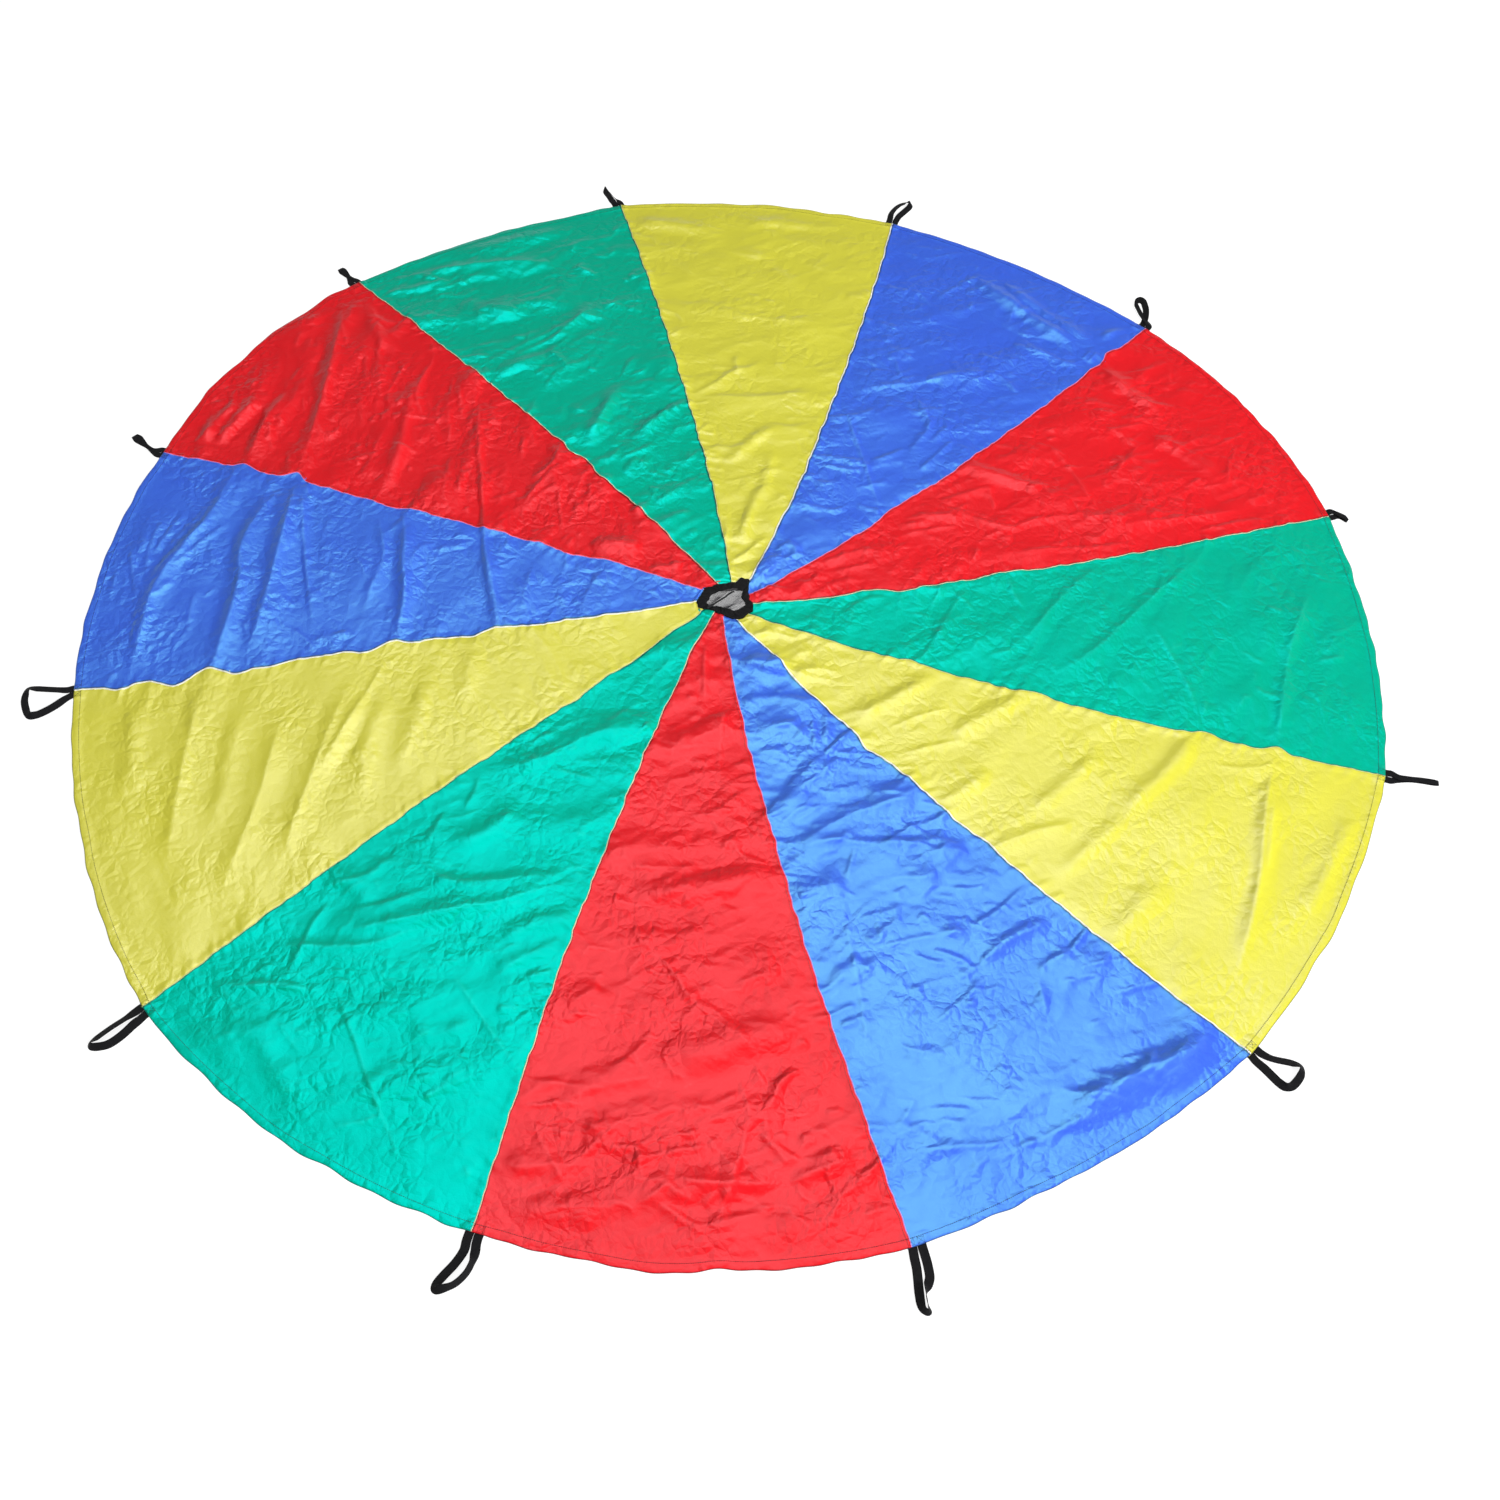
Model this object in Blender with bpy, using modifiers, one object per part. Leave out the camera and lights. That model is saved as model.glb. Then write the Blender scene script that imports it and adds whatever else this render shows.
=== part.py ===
"""Play parachute, laid out flat on the ground.

Twelve cloth gores are lapped over each other along radial seams and hemmed round the rim. A webbing
handle is sewn under the hem at the end of each seam. The vent in the middle is a net under a ring of
tape. Metres, +Z up, origin on the ground under the middle of the canopy.
"""

import math

import bmesh
import bpy
from mathutils import Matrix, Vector
from mathutils.geometry import intersect_line_line_2d

# Canopy
CANOPY_RADIUS = 1.75
CLOTH_THICKNESS = 0.0008
CLEARANCE = 0.0003
SEAM_LAP = 0.010
HEM_WIDTH = 0.021
SEAM_BOW = 0.045
SEAM_DRIFT = 0.040
FOLD_HEIGHT = 0.024
FOLD_WIDTH = 0.075
REST_CUT = 0.0005
RIM_FLAT = 0.080
RIM_EASE = 0.120
VENT_FLAT = 0.030
VENT_EASE = 0.120

# Handles
STRAP_WIDTH = 0.020
STRAP_THICKNESS = 0.0015
STRAP_SPLIT = 0.002
HANDLE_REACH = 0.135
STRAP_STRAIGHT = 0.006
STRAP_TURN = 0.034
HINGE_OVERHANG = 0.004
HANDLE_SHIFT = 0.012
LOOP_OPENING = 0.0055

# Vent
VENT_RADIUS = 0.095
TAPE_WIDTH = 0.022
TAPE_THICKNESS = 0.001
TAPE_CORNER_RADIUS = 0.014
TAPE_OVER_CLOTH = 0.009
TAPE_OVER_NET = 0.005
NET_PITCH = 0.0105
NET_THREAD = 0.0009

# Counts and angles
GORE_COUNT = 12
FIRST_SEAM_DEG = 105.0
INNER_COLUMNS = 7
CORNER_STEPS = 4
LOOP_ROWS = 30
SPLINE_STEPS = 12

# Rows of a gore's top sheet, from the vent to the rim, as shares of the way to the hem's inner edge.
ROW_SHARES = (0.0, 0.05, 0.13, 0.235, 0.34, 0.445, 0.55, 0.655, 0.76, 0.87, 1.0)

# Where each seam meets the rim: drift along the rim (shares of SEAM_DRIFT, anticlockwise positive), and
# the rim's radius there and in the middle of the gore that follows (shares of CANOPY_RADIUS).
SEAM_DRIFT_SHARES = (-0.15, -0.15, -1.0, -0.4, 0.0, 0.1, -0.1, 0.0, -0.2, -1.4, 0.0, 0.1)
SEAM_RIM_SHARES = (1.012, 0.998, 1.002, 1.006, 0.998, 0.990, 0.998, 1.006, 1.014, 0.982, 0.990, 1.012)
GORE_RIM_SHARES = (0.998, 0.990, 1.009, 0.994, 0.986, 0.983, 1.003, 1.009, 0.992, 0.985, 1.012, 0.999)

# How far each seam bows sideways between vent and rim, as a share of SEAM_BOW, clockwise positive.
SEAM_BOW_SHARES = (0.82, 0.95, 1.12, 0.93, 0.90, 1.0, 1.25, 1.35, 0.93, 0.72, 0.86, 0.84)

# Where each seam meets the vent, in degrees round the vent's own middle.
SEAM_VENT_DEG = (76.0, 50.0, 24.0, -4.0, -34.0, -62.0, -92.0, -122.0, -152.0, -180.0, -212.0, -248.0)

# The vent's outline, lying crumpled into five sides: corners as shares of VENT_RADIUS round its middle,
# which lies off the canopy's middle by VENT_OFFSET_SHARES.
VENT_OFFSET_SHARES = (-0.21, 0.10)
VENT_CORNER_SHARES = ((-0.83, -0.26), (-0.50, 0.50), (0.68, 0.72), (0.80, -0.36), (0.25, -0.76))

# The long folds of the cloth as it lies, each from one end to the other in shares of CANOPY_RADIUS, with
# its height and width as shares of FOLD_HEIGHT and FOLD_WIDTH.
FOLD_SHARES = (
    ((-0.70, 0.62), (-0.71, 0.24), 1.0, 0.8),
    ((-0.71, 0.20), (-0.72, -0.22), 0.9, 0.8),
    ((-0.86, 0.42), (-0.80, 0.24), 0.8, 0.8),
    ((-0.86, 0.12), (-0.80, -0.20), 0.8, 0.7),
    ((-0.57, 0.52), (-0.52, 0.02), 0.6, 0.8),
    ((-0.44, 0.30), (-0.38, -0.08), 0.6, 0.7),
    ((-0.62, -0.26), (-0.66, -0.60), 0.5, 1.0),
    ((-0.44, -0.20), (-0.42, -0.52), 0.5, 1.0),
    ((-0.62, 0.72), (-0.32, 0.86), 0.9, 0.8),
    ((-0.42, 0.52), (-0.20, 0.60), 0.6, 0.9),
    ((-0.26, 0.40), (-0.10, 0.20), 0.7, 0.9),
    ((-0.10, 0.72), (0.18, 0.62), 0.4, 1.0),
    ((0.36, 0.82), (0.62, 0.58), 0.9, 0.8),
    ((0.66, 0.54), (0.86, 0.34), 0.9, 0.8),
    ((0.20, 0.50), (0.48, 0.54), 0.5, 0.8),
    ((0.38, 0.32), (0.58, 0.26), 0.5, 0.8),
    ((0.26, 0.06), (0.82, 0.20), 0.5, 0.9),
    ((0.30, -0.06), (0.56, 0.12), 0.4, 0.9),
    ((0.74, -0.22), (0.86, 0.10), 0.5, 0.9),
    ((0.36, -0.30), (0.60, -0.14), 0.4, 0.9),
    ((0.66, -0.56), (0.80, -0.28), 0.6, 0.9),
    ((0.10, -0.24), (0.28, -0.42), 0.6, 0.9),
    ((0.14, -0.44), (0.42, -0.38), 0.6, 0.8),
    ((-0.10, -0.48), (0.14, -0.43), 0.8, 0.8),
    ((-0.50, -0.58), (-0.14, -0.49), 0.8, 0.8),
    ((-0.36, -0.36), (-0.10, -0.20), 0.6, 0.9),
    ((0.24, -0.62), (0.50, -0.56), 0.5, 0.8),
    ((0.34, -0.78), (0.62, -0.66), 0.6, 0.8),
    ((-0.16, -0.76), (0.14, -0.70), 0.5, 0.9),
    ((-0.44, -0.78), (-0.24, -0.72), 0.4, 1.0),
)

GORE_COLOURS = ("yellow", "blue", "red", "green")
CLOTH_RGB = {
    "yellow": (0.76, 0.71, 0.07),
    "blue": (0.055, 0.13, 0.62),
    "red": (0.72, 0.015, 0.03),
    "green": (0.0, 0.42, 0.27),
}

# Each handle as it lies. First its feet's place along the rim, beside the seam, as a share of HANDLE_SHIFT.
# Next how much longer than STRAP_STRAIGHT the feet stay flat, as a share of HANDLE_REACH. Then the strap's
# route from one foot round to the other, along and beside the handle's own direction, in shares of
# HANDLE_REACH. A handle that lies over on its side has a third number, the strap's rise as a share of the
# loop's opening.
HANDLE_SHARES = (
    (
        1.0, 0.0,
        ((0.12, -0.04), (0.24, 0.06), (0.40, 0.12), (0.53, 0.16), (0.61, 0.19), (0.64, 0.23), (0.61, 0.26),
         (0.52, 0.24), (0.38, 0.20), (0.22, 0.16), (0.11, 0.10)),
    ),
    (
        -0.25, 0.04,
        ((0.13, -0.08), (0.30, -0.11), (0.55, -0.20), (0.79, -0.28), (0.88, -0.26), (0.89, -0.18), (0.82, -0.08),
         (0.71, 0.0), (0.52, 0.07), (0.32, 0.10), (0.13, 0.08)),
    ),
    (
        0.85, 0.0,
        ((0.11, -0.04), (0.17, 0.12), (0.25, 0.31), (0.34, 0.46), (0.42, 0.59), (0.51, 0.68), (0.61, 0.66),
         (0.62, 0.55), (0.52, 0.40), (0.37, 0.27), (0.24, 0.18), (0.11, 0.11)),
    ),
    (
        -0.2, 0.0,
        ((0.10, -0.12), (0.17, -0.155), (0.22, -0.20), (0.24, -0.26), (0.275, -0.29), (0.31, -0.25), (0.30, -0.17),
         (0.25, -0.10), (0.16, -0.03), (0.08, 0.06)),
    ),
    (
        -0.65, 0.0,
        ((0.09, -0.07, 0.0), (0.20, -0.02, 0.0), (0.38, 0.04, 0.0), (0.60, 0.085, 0.0), (0.82, 0.115, 0.0),
         (0.91, 0.125, 0.15), (0.94, 0.13, 0.5), (0.91, 0.125, 0.85), (0.82, 0.115, 1.0), (0.60, 0.085, 1.0),
         (0.38, 0.04, 1.0), (0.22, 0.02, 0.75), (0.09, 0.08, 0.2)),
    ),
    (
        0.0, 0.0,
        ((0.10, -0.10), (0.30, -0.11), (0.55, -0.13), (0.69, -0.13), (0.76, -0.04), (0.77, 0.12), (0.74, 0.28),
         (0.66, 0.36), (0.52, 0.30), (0.27, 0.13), (0.10, 0.08)),
    ),
    (
        1.0, 0.22,
        ((0.12, -0.09), (0.28, -0.10), (0.46, -0.13), (0.66, -0.17), (0.84, -0.19), (0.92, -0.15), (0.93, -0.09),
         (0.82, -0.09), (0.66, -0.07), (0.53, -0.01), (0.42, 0.05), (0.26, 0.08), (0.12, 0.08)),
    ),
    (
        0.15, 0.12,
        ((0.11, -0.07), (0.26, -0.05), (0.47, -0.10), (0.68, -0.19), (0.85, -0.25), (0.91, -0.22), (0.87, -0.13),
         (0.76, 0.02), (0.58, 0.12), (0.40, 0.15), (0.25, 0.13), (0.11, 0.09)),
    ),
    (
        0.25, 0.0,
        ((0.10, -0.07), (0.26, -0.06), (0.51, -0.07), (0.75, -0.065), (0.89, -0.05), (0.92, 0.01), (0.84, 0.09),
         (0.69, 0.17), (0.49, 0.18), (0.29, 0.15), (0.11, 0.10)),
    ),
    (
        0.35, 0.0,
        ((0.10, -0.06), (0.24, -0.08), (0.46, -0.13), (0.67, -0.18), (0.79, -0.19), (0.84, -0.11), (0.86, 0.06),
         (0.82, 0.27), (0.75, 0.44), (0.65, 0.46), (0.46, 0.39), (0.26, 0.27), (0.11, 0.14)),
    ),
    (
        -0.85, 0.0,
        ((0.09, -0.07, 0.0), (0.22, -0.02, 0.0), (0.36, -0.06, 0.0), (0.48, -0.12, 0.0), (0.60, -0.185, 0.0),
         (0.67, -0.225, 0.15), (0.70, -0.24, 0.5), (0.67, -0.225, 0.85), (0.60, -0.185, 1.0), (0.48, -0.12, 1.0),
         (0.36, -0.05, 1.0), (0.22, 0.02, 0.75), (0.09, 0.08, 0.2)),
    ),
    (
        0.9, 0.0,
        ((0.09, -0.07, 0.0), (0.20, -0.03, 0.0), (0.34, -0.01, 0.0), (0.46, -0.01, 0.0), (0.54, -0.01, 0.03),
         (0.60, -0.01, 0.2), (0.62, -0.01, 0.5), (0.60, -0.01, 0.8), (0.54, -0.01, 0.97), (0.46, -0.01, 1.0),
         (0.34, 0.0, 1.0), (0.21, 0.03, 0.75), (0.09, 0.08, 0.2)),
    ),
)

# Worked out from the sizes above
LAYER = CLOTH_THICKNESS + CLEARANCE
STRAP_PITCH = STRAP_WIDTH + STRAP_SPLIT
STRAP_LIFT = STRAP_THICKNESS + CLEARANCE
STRAP_ZONE = STRAP_PITCH / 2 + STRAP_WIDTH / 2 + HINGE_OVERHANG + HANDLE_SHIFT
VENT_MIDDLE = Vector([share * VENT_RADIUS for share in VENT_OFFSET_SHARES])
VENT_CORNERS = [Vector(corner) * VENT_RADIUS for corner in VENT_CORNER_SHARES]
COLUMNS = INNER_COLUMNS + 3
TOP_ROWS = len(ROW_SHARES)
FOLDED_ROWS = 3


def smooth(value):
    """0 up to 0, 1 from 1 on, and an S-curve between."""
    value = min(max(value, 0.0), 1.0)
    return value * value * (3 - 2 * value)


def mix(low, high, share):
    return low + (high - low) * share


def inset_outline(corners, inset):
    """The outline of a convex polygon, anticlockwise, moved inwards."""
    lines = []
    for first, second in zip(corners, corners[1:] + corners[:1]):
        inward = (second - first).orthogonal().normalized()
        lines.append((first + inward * inset, second + inward * inset))
    moved = []
    for before, after in zip(lines[-1:] + lines[:-1], lines):
        along_a, along_b = before[1] - before[0], after[1] - after[0]
        across = after[0] - before[0]
        reach = across.cross(along_b) / along_a.cross(along_b)
        moved.append(before[0] + along_a * reach)
    return moved


def rounded_outline(corners, radius):
    """The same outline with its corners as arcs."""
    points = []
    for before, corner, after in zip(corners[-1:] + corners[:-1], corners, corners[1:] + corners[:1]):
        back, on = (before - corner).normalized(), (after - corner).normalized()
        half = back.angle(on) / 2
        middle = corner + (back + on).normalized() * radius / math.sin(half)
        start = corner + back * radius / math.tan(half) - middle
        turn = math.pi - 2 * half
        for step in range(CORNER_STEPS + 1):
            swing = Matrix.Rotation(turn * step / CORNER_STEPS, 2)
            points.append(middle + swing @ start)
    return points


def outline_reach(outline, angle):
    """How far the outline lies from the vent's middle in one direction."""
    far = Vector((math.cos(angle), math.sin(angle))) * 2 * VENT_RADIUS
    for first, second in zip(outline, outline[1:] + outline[:1]):
        hit = intersect_line_line_2d((0.0, 0.0), far, first, second)
        if hit is not None:
            return hit.length
    return VENT_RADIUS


VENT_OUTLINE = inset_outline(VENT_CORNERS[::-1], 0.0)
CLOTH_OUTLINE = inset_outline(VENT_OUTLINE, TAPE_OVER_CLOTH)
NET_OUTLINE = inset_outline(VENT_OUTLINE, TAPE_WIDTH - TAPE_OVER_NET)


def onto_outline(outline, place):
    """The nearest place to this one on an outline, seen from the vent's middle."""
    aim = place - VENT_MIDDLE
    reach = outline_reach(outline, math.atan2(aim.y, aim.x))
    return VENT_MIDDLE + aim.normalized() * reach


def canopy_height(x, y):
    """How far the cloth's underside stands off the ground, at a place in the plan."""
    height = 0.0
    place = Vector((x, y))
    for start_share, end_share, high_share, wide_share in FOLD_SHARES:
        start = Vector(start_share) * CANOPY_RADIUS
        along = Vector(end_share) * CANOPY_RADIUS - start
        at = (place - start).dot(along) / along.length_squared
        near = min(max(at, 0.0), 1.0)
        away = (place - start - along * near).length / (FOLD_WIDTH * wide_share)
        height = max(height, FOLD_HEIGHT * high_share * math.exp(-away * away))
    from_rim = CANOPY_RADIUS - place.length
    from_vent = (place - VENT_MIDDLE).length - VENT_RADIUS
    height *= smooth((from_rim - RIM_FLAT) / RIM_EASE) * smooth((from_vent - VENT_FLAT) / VENT_EASE)
    return max(0.0, height - REST_CUT)


def seam_angle(seam):
    return math.radians(FIRST_SEAM_DEG - 360 / GORE_COUNT * seam)


def seam_rim(seam):
    """A seam's end at the rim's outer edge: its angle and its radius."""
    seam %= GORE_COUNT
    drift = SEAM_DRIFT * SEAM_DRIFT_SHARES[seam] / CANOPY_RADIUS
    return seam_angle(seam) + drift, CANOPY_RADIUS * SEAM_RIM_SHARES[seam]


def seam_point(seam, share):
    """A place on a seam, from 0 at the vent to 1 at the hem's inner edge, and past it to the rim."""
    seam %= GORE_COUNT
    turn = math.radians(SEAM_VENT_DEG[seam])
    inner = VENT_MIDDLE + Vector((math.cos(turn), math.sin(turn))) * outline_reach(CLOTH_OUTLINE, turn)
    rim_angle, rim_radius = seam_rim(seam)
    reach = mix(inner.length, rim_radius - HEM_WIDTH, share)
    along = reach / CANOPY_RADIUS
    side = -SEAM_BOW * SEAM_BOW_SHARES[seam] * (1 - min(along, 1.0) ** 3)
    angle = mix(seam_angle(seam), rim_angle, along) + math.atan2(side, reach)
    outer = Vector((math.cos(angle), math.sin(angle))) * reach
    return inner.lerp(outer, smooth(share / ROW_SHARES[3]))


def seam_side(seam, share, offset):
    """A place beside a seam, offset clockwise from its middle line."""
    here = seam_point(seam, share)
    step = (ROW_SHARES[1] - ROW_SHARES[0]) / SPLINE_STEPS
    along = (seam_point(seam, share + step) - here).normalized()
    place = here + Vector((along.y, -along.x)) * offset
    return place if share > 0.0 else onto_outline(CLOTH_OUTLINE, place)


def polar_mix(first, second, share, bulge):
    """A place between two others, along an arc round the canopy's middle."""
    angle = math.atan2(first.y, first.x)
    turn = (math.atan2(second.y, second.x) - angle + math.pi) % (2 * math.pi) - math.pi
    angle += turn * share
    radius = mix(first.length, second.length, share) + bulge * 4 * share * (1 - share)
    return Vector((math.cos(angle), math.sin(angle))) * radius


def gore_place(gore, column, row):
    """Where a point of a gore's sheet lies in the plan. Rows past the top sheet's last turn under."""
    top = min(row, TOP_ROWS)
    share = ROW_SHARES[min(top, TOP_ROWS - 1)]
    first = seam_side(gore, share, SEAM_LAP / 2)
    second = seam_side(gore + 1, share, -SEAM_LAP / 2)
    if column == 0:
        place = seam_side(gore, share, -SEAM_LAP / 2)
    elif column == COLUMNS:
        place = seam_side(gore + 1, share, SEAM_LAP / 2)
    else:
        rim_width = 2 * math.pi * CANOPY_RADIUS / GORE_COUNT
        edge = mix(1 / INNER_COLUMNS, (STRAP_ZONE - SEAM_LAP / 2) / rim_width, smooth(share / ROW_SHARES[-4]))
        inner = (column - 2) / (INNER_COLUMNS - 1)
        across = (0.0 if column == 1 else 1.0) if column in (1, COLUMNS - 1) else mix(edge, 1 - edge, inner)
        rim_middle = (seam_rim(gore)[1] + seam_rim(gore + 1)[1]) / 2
        bulge = (CANOPY_RADIUS * GORE_RIM_SHARES[gore] - rim_middle) * share
        if share > 0.0:
            place = polar_mix(first, second, across, bulge)
        elif column in (1, COLUMNS - 1):
            place = first if column == 1 else second
        else:
            around = polar_mix(first - VENT_MIDDLE, second - VENT_MIDDLE, across, 0.0)
            place = onto_outline(CLOTH_OUTLINE, VENT_MIDDLE + around)
    if row < TOP_ROWS:
        return place
    fold = LAYER / 2
    outward = (HEM_WIDTH - fold, HEM_WIDTH, HEM_WIDTH - fold, 0.0)[row - TOP_ROWS]
    return place + place.normalized() * outward


def gore_level(gore, column, row, place):
    """The height of the middle of the cloth there."""
    lap = LAYER if column in (0, 1) else 0.0
    over_strap = STRAP_LIFT if column <= 2 or column >= COLUMNS - 2 else 0.0
    under = CLOTH_THICKNESS / 2 + over_strap
    top = under + LAYER + lap
    if row < TOP_ROWS - 1:
        line = place
        if column <= 1:
            line = seam_point(gore, ROW_SHARES[row])
        elif column >= COLUMNS - 1:
            line = seam_point(gore + 1, ROW_SHARES[row])
        return canopy_height(line.x, line.y) + CLOTH_THICKNESS / 2 + lap
    return {0: top, 1: top, 2: (top + under) / 2, 3: under, 4: under}[row - TOP_ROWS + 1]


def sheet_object(name, columns, rows, place, thickness, dropped=None):
    """A strip or sheet of even thickness, laid out from a flat grid by a function of column and row."""
    grid = bmesh.new()
    bmesh.ops.create_grid(grid, x_segments=columns, y_segments=rows, size=0.5)
    faces = list(grid.faces)
    cells = {face: face.calc_center_median() for face in faces}
    if dropped is not None:
        gone = [
            face for face in faces
            if dropped(int((cells[face].x + 0.5) * columns), int((cells[face].y + 0.5) * rows))
        ]
        bmesh.ops.delete(grid, geom=gone, context="FACES")
    for point in grid.verts:
        column, row = round((point.co.x + 0.5) * columns), round((point.co.y + 0.5) * rows)
        point.co = place(column, row)
    bmesh.ops.triangulate(grid, faces=list(grid.faces), quad_method="FIXED")
    mesh = bpy.data.meshes.new(name)
    grid.to_mesh(mesh)
    grid.free()
    sheet = bpy.data.objects.new(name, mesh)
    solid = sheet.modifiers.new("thickness", "SOLIDIFY")
    solid.thickness = thickness
    solid.offset = 0.0
    solid.use_quality_normals = True
    return sheet


def build_gore(gore):
    """One wedge of cloth, its lap over the next at the seams and its hem folded under at the rim."""

    def place(column, row):
        plan = gore_place(gore, column, row)
        return Vector((plan.x, plan.y, gore_level(gore, column, row, plan)))

    def trimmed(column, row):
        return row >= TOP_ROWS and column in (0, COLUMNS - 1)

    name = f"gore_{gore + 1:02d}_{GORE_COLOURS[gore % len(GORE_COLOURS)]}"
    return sheet_object(name, COLUMNS, TOP_ROWS + FOLDED_ROWS, place, CLOTH_THICKNESS, trimmed)


def route_points(shares):
    """A smooth route through the handle's points, evenly spaced: along it, beside it and up."""
    foot = Vector((CLEARANCE / 2, -STRAP_PITCH / 2, 0.0))
    far_foot = Vector((foot.x, -foot.y, 0.0))
    lead = Vector((STRAP_STRAIGHT, 0.0, 0.0))
    rise = STRAP_THICKNESS + LOOP_OPENING
    knots = [foot - lead, foot]
    for along, beside, *up in shares:
        knots.append(Vector((along * HANDLE_REACH, beside * HANDLE_REACH, sum(up) * rise)))
    knots += [far_foot, far_foot - lead]
    fine = []
    for before, start, end, after in zip(knots, knots[1:], knots[2:], knots[3:]):
        for step in range(SPLINE_STEPS):
            t = step / SPLINE_STEPS
            fine.append(
                (2 * start + (end - before) * t + (2 * before - 5 * start + 4 * end - after) * t * t
                 + (3 * start - before - 3 * end + after) * t * t * t) / 2
            )
    fine.append(knots[-2])
    travelled = [0.0]
    for start, end in zip(fine, fine[1:]):
        travelled.append(travelled[-1] + (end - start).length)
    points, at = [], 0
    for row in range(LOOP_ROWS + 1):
        goal = travelled[-1] * row / LOOP_ROWS
        while at < len(fine) - 2 and travelled[at + 1] < goal:
            at += 1
        share = (goal - travelled[at]) / (travelled[at + 1] - travelled[at])
        points.append(fine[at].lerp(fine[at + 1], share))
    return points, travelled[-1]


def build_loop(handle):
    """The free loop of a handle, in its own axes: flat at its feet, then turned on its edge or lying over."""
    _, flat_share, shares = HANDLE_SHARES[handle]
    points, length = route_points(shares)
    flat = STRAP_STRAIGHT + flat_share * HANDLE_REACH
    lies_over = len(shares[0]) == len(points[0])
    tip = max(points, key=lambda point: point.x)
    neck = min(points, key=lambda point: abs(point.x - tip.x / 2))
    lean = math.atan2(tip.y - neck.y, tip.x - neck.x)
    up = Vector((0.0, 0.0, 1.0))
    centres, widths = [], []
    for row, point in enumerate(points):
        ahead = points[min(row + 1, LOOP_ROWS)] - points[max(row - 1, 0)]
        if row in (0, LOOP_ROWS):
            ahead = Vector((1.0 if row == 0 else -1.0, 0.0, 0.0))
        ahead.normalize()
        if lies_over:
            swing = lean * smooth((point.x - STRAP_STRAIGHT) / STRAP_TURN)
            width = Matrix.Rotation(swing, 3, "Z") @ Vector((0.0, 1.0, 0.0))
            lift = -STRAP_THICKNESS / 2
        else:
            outward = Vector((ahead.y, -ahead.x, 0.0))
            from_foot = length * min(row, LOOP_ROWS - row) / LOOP_ROWS
            edge = math.pi / 2 * smooth((from_foot - flat) / STRAP_TURN)
            facing = up * math.cos(edge) + outward * math.sin(edge)
            width = ahead.cross(facing)
            rise = (abs(width.z) * STRAP_WIDTH + abs(facing.z) * STRAP_THICKNESS) / 2
            lift = rise - STRAP_THICKNESS + CLEARANCE * math.sin(edge)
        centres.append(point + up * lift)
        widths.append(width)

    def place(column, row):
        return centres[row] + widths[row] * STRAP_WIDTH * (column - 0.5)

    return sheet_object(f"handle_{handle + 1:02d}_loop", 1, LOOP_ROWS, place, STRAP_THICKNESS)


def build_strap_end(handle, side):
    """One sewn end of a handle's strap, flat on the ground under the hem."""
    length = HEM_WIDTH + HINGE_OVERHANG - CLEARANCE / 2
    box = bmesh.new()
    bmesh.ops.create_cube(box, size=1.0)
    bmesh.ops.scale(box, vec=(length, STRAP_WIDTH, STRAP_THICKNESS), verts=box.verts)
    middle = (-CLEARANCE / 2 - length / 2, side * STRAP_PITCH / 2, -STRAP_THICKNESS / 2)
    bmesh.ops.translate(box, vec=middle, verts=box.verts)
    name = f"handle_{handle + 1:02d}_end_{'left' if side > 0 else 'right'}"
    mesh = bpy.data.meshes.new(name)
    box.to_mesh(mesh)
    box.free()
    return bpy.data.objects.new(name, mesh)


def build_net():
    """A square net of thread, cut to the vent's outline, with a selvedge thread round it."""
    cells = math.ceil(2 * VENT_RADIUS / NET_PITCH)
    net = bmesh.new()
    bmesh.ops.create_grid(net, x_segments=cells, y_segments=cells, size=cells * NET_PITCH / 2)
    for first, second in zip(NET_OUTLINE, NET_OUTLINE[1:] + NET_OUTLINE[:1]):
        inward = (second - first).orthogonal()
        bmesh.ops.bisect_plane(
            net, geom=list(net.verts) + list(net.edges) + list(net.faces), dist=CLEARANCE,
            plane_co=(first.x, first.y, 0.0), plane_no=(-inward.x, -inward.y, 0.0), clear_outer=True,
        )
    bmesh.ops.remove_doubles(net, verts=net.verts, dist=NET_PITCH / 3)
    mesh = bpy.data.meshes.new("vent_net")
    net.to_mesh(mesh)
    net.free()
    threads = bpy.data.objects.new("vent_net", mesh)
    wire = threads.modifiers.new("threads", "WIREFRAME")
    wire.thickness = NET_THREAD
    wire.use_even_offset = True
    wire.use_boundary = True
    wire.use_replace = True
    under_tape = CLOTH_THICKNESS + LAYER - NET_THREAD
    threads.location = (VENT_MIDDLE.x, VENT_MIDDLE.y, under_tape)
    return threads


def build_tape():
    """The ring of tape over the gores' inner ends and the net's edge."""
    ring = bpy.data.curves.new("vent_tape", "CURVE")
    ring.dimensions = "2D"
    ring.fill_mode = "BOTH"
    ring.extrude = TAPE_THICKNESS / 2
    inner_radius = TAPE_CORNER_RADIUS / 2
    for inset, radius in ((0.0, TAPE_CORNER_RADIUS), (TAPE_WIDTH, inner_radius)):
        outline = rounded_outline(inset_outline(VENT_OUTLINE, inset), radius)
        spline = ring.splines.new("POLY")
        spline.points.add(len(outline) - 1)
        for point, place in zip(spline.points, outline):
            point.co = (place.x, place.y, 0.0, 1.0)
        spline.use_cyclic_u = True
    tape = bpy.data.objects.new("vent_tape", ring)
    over_cloth = CLOTH_THICKNESS + LAYER + CLEARANCE
    tape.location = (VENT_MIDDLE.x, VENT_MIDDLE.y, over_cloth + TAPE_THICKNESS / 2)
    return tape


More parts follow.
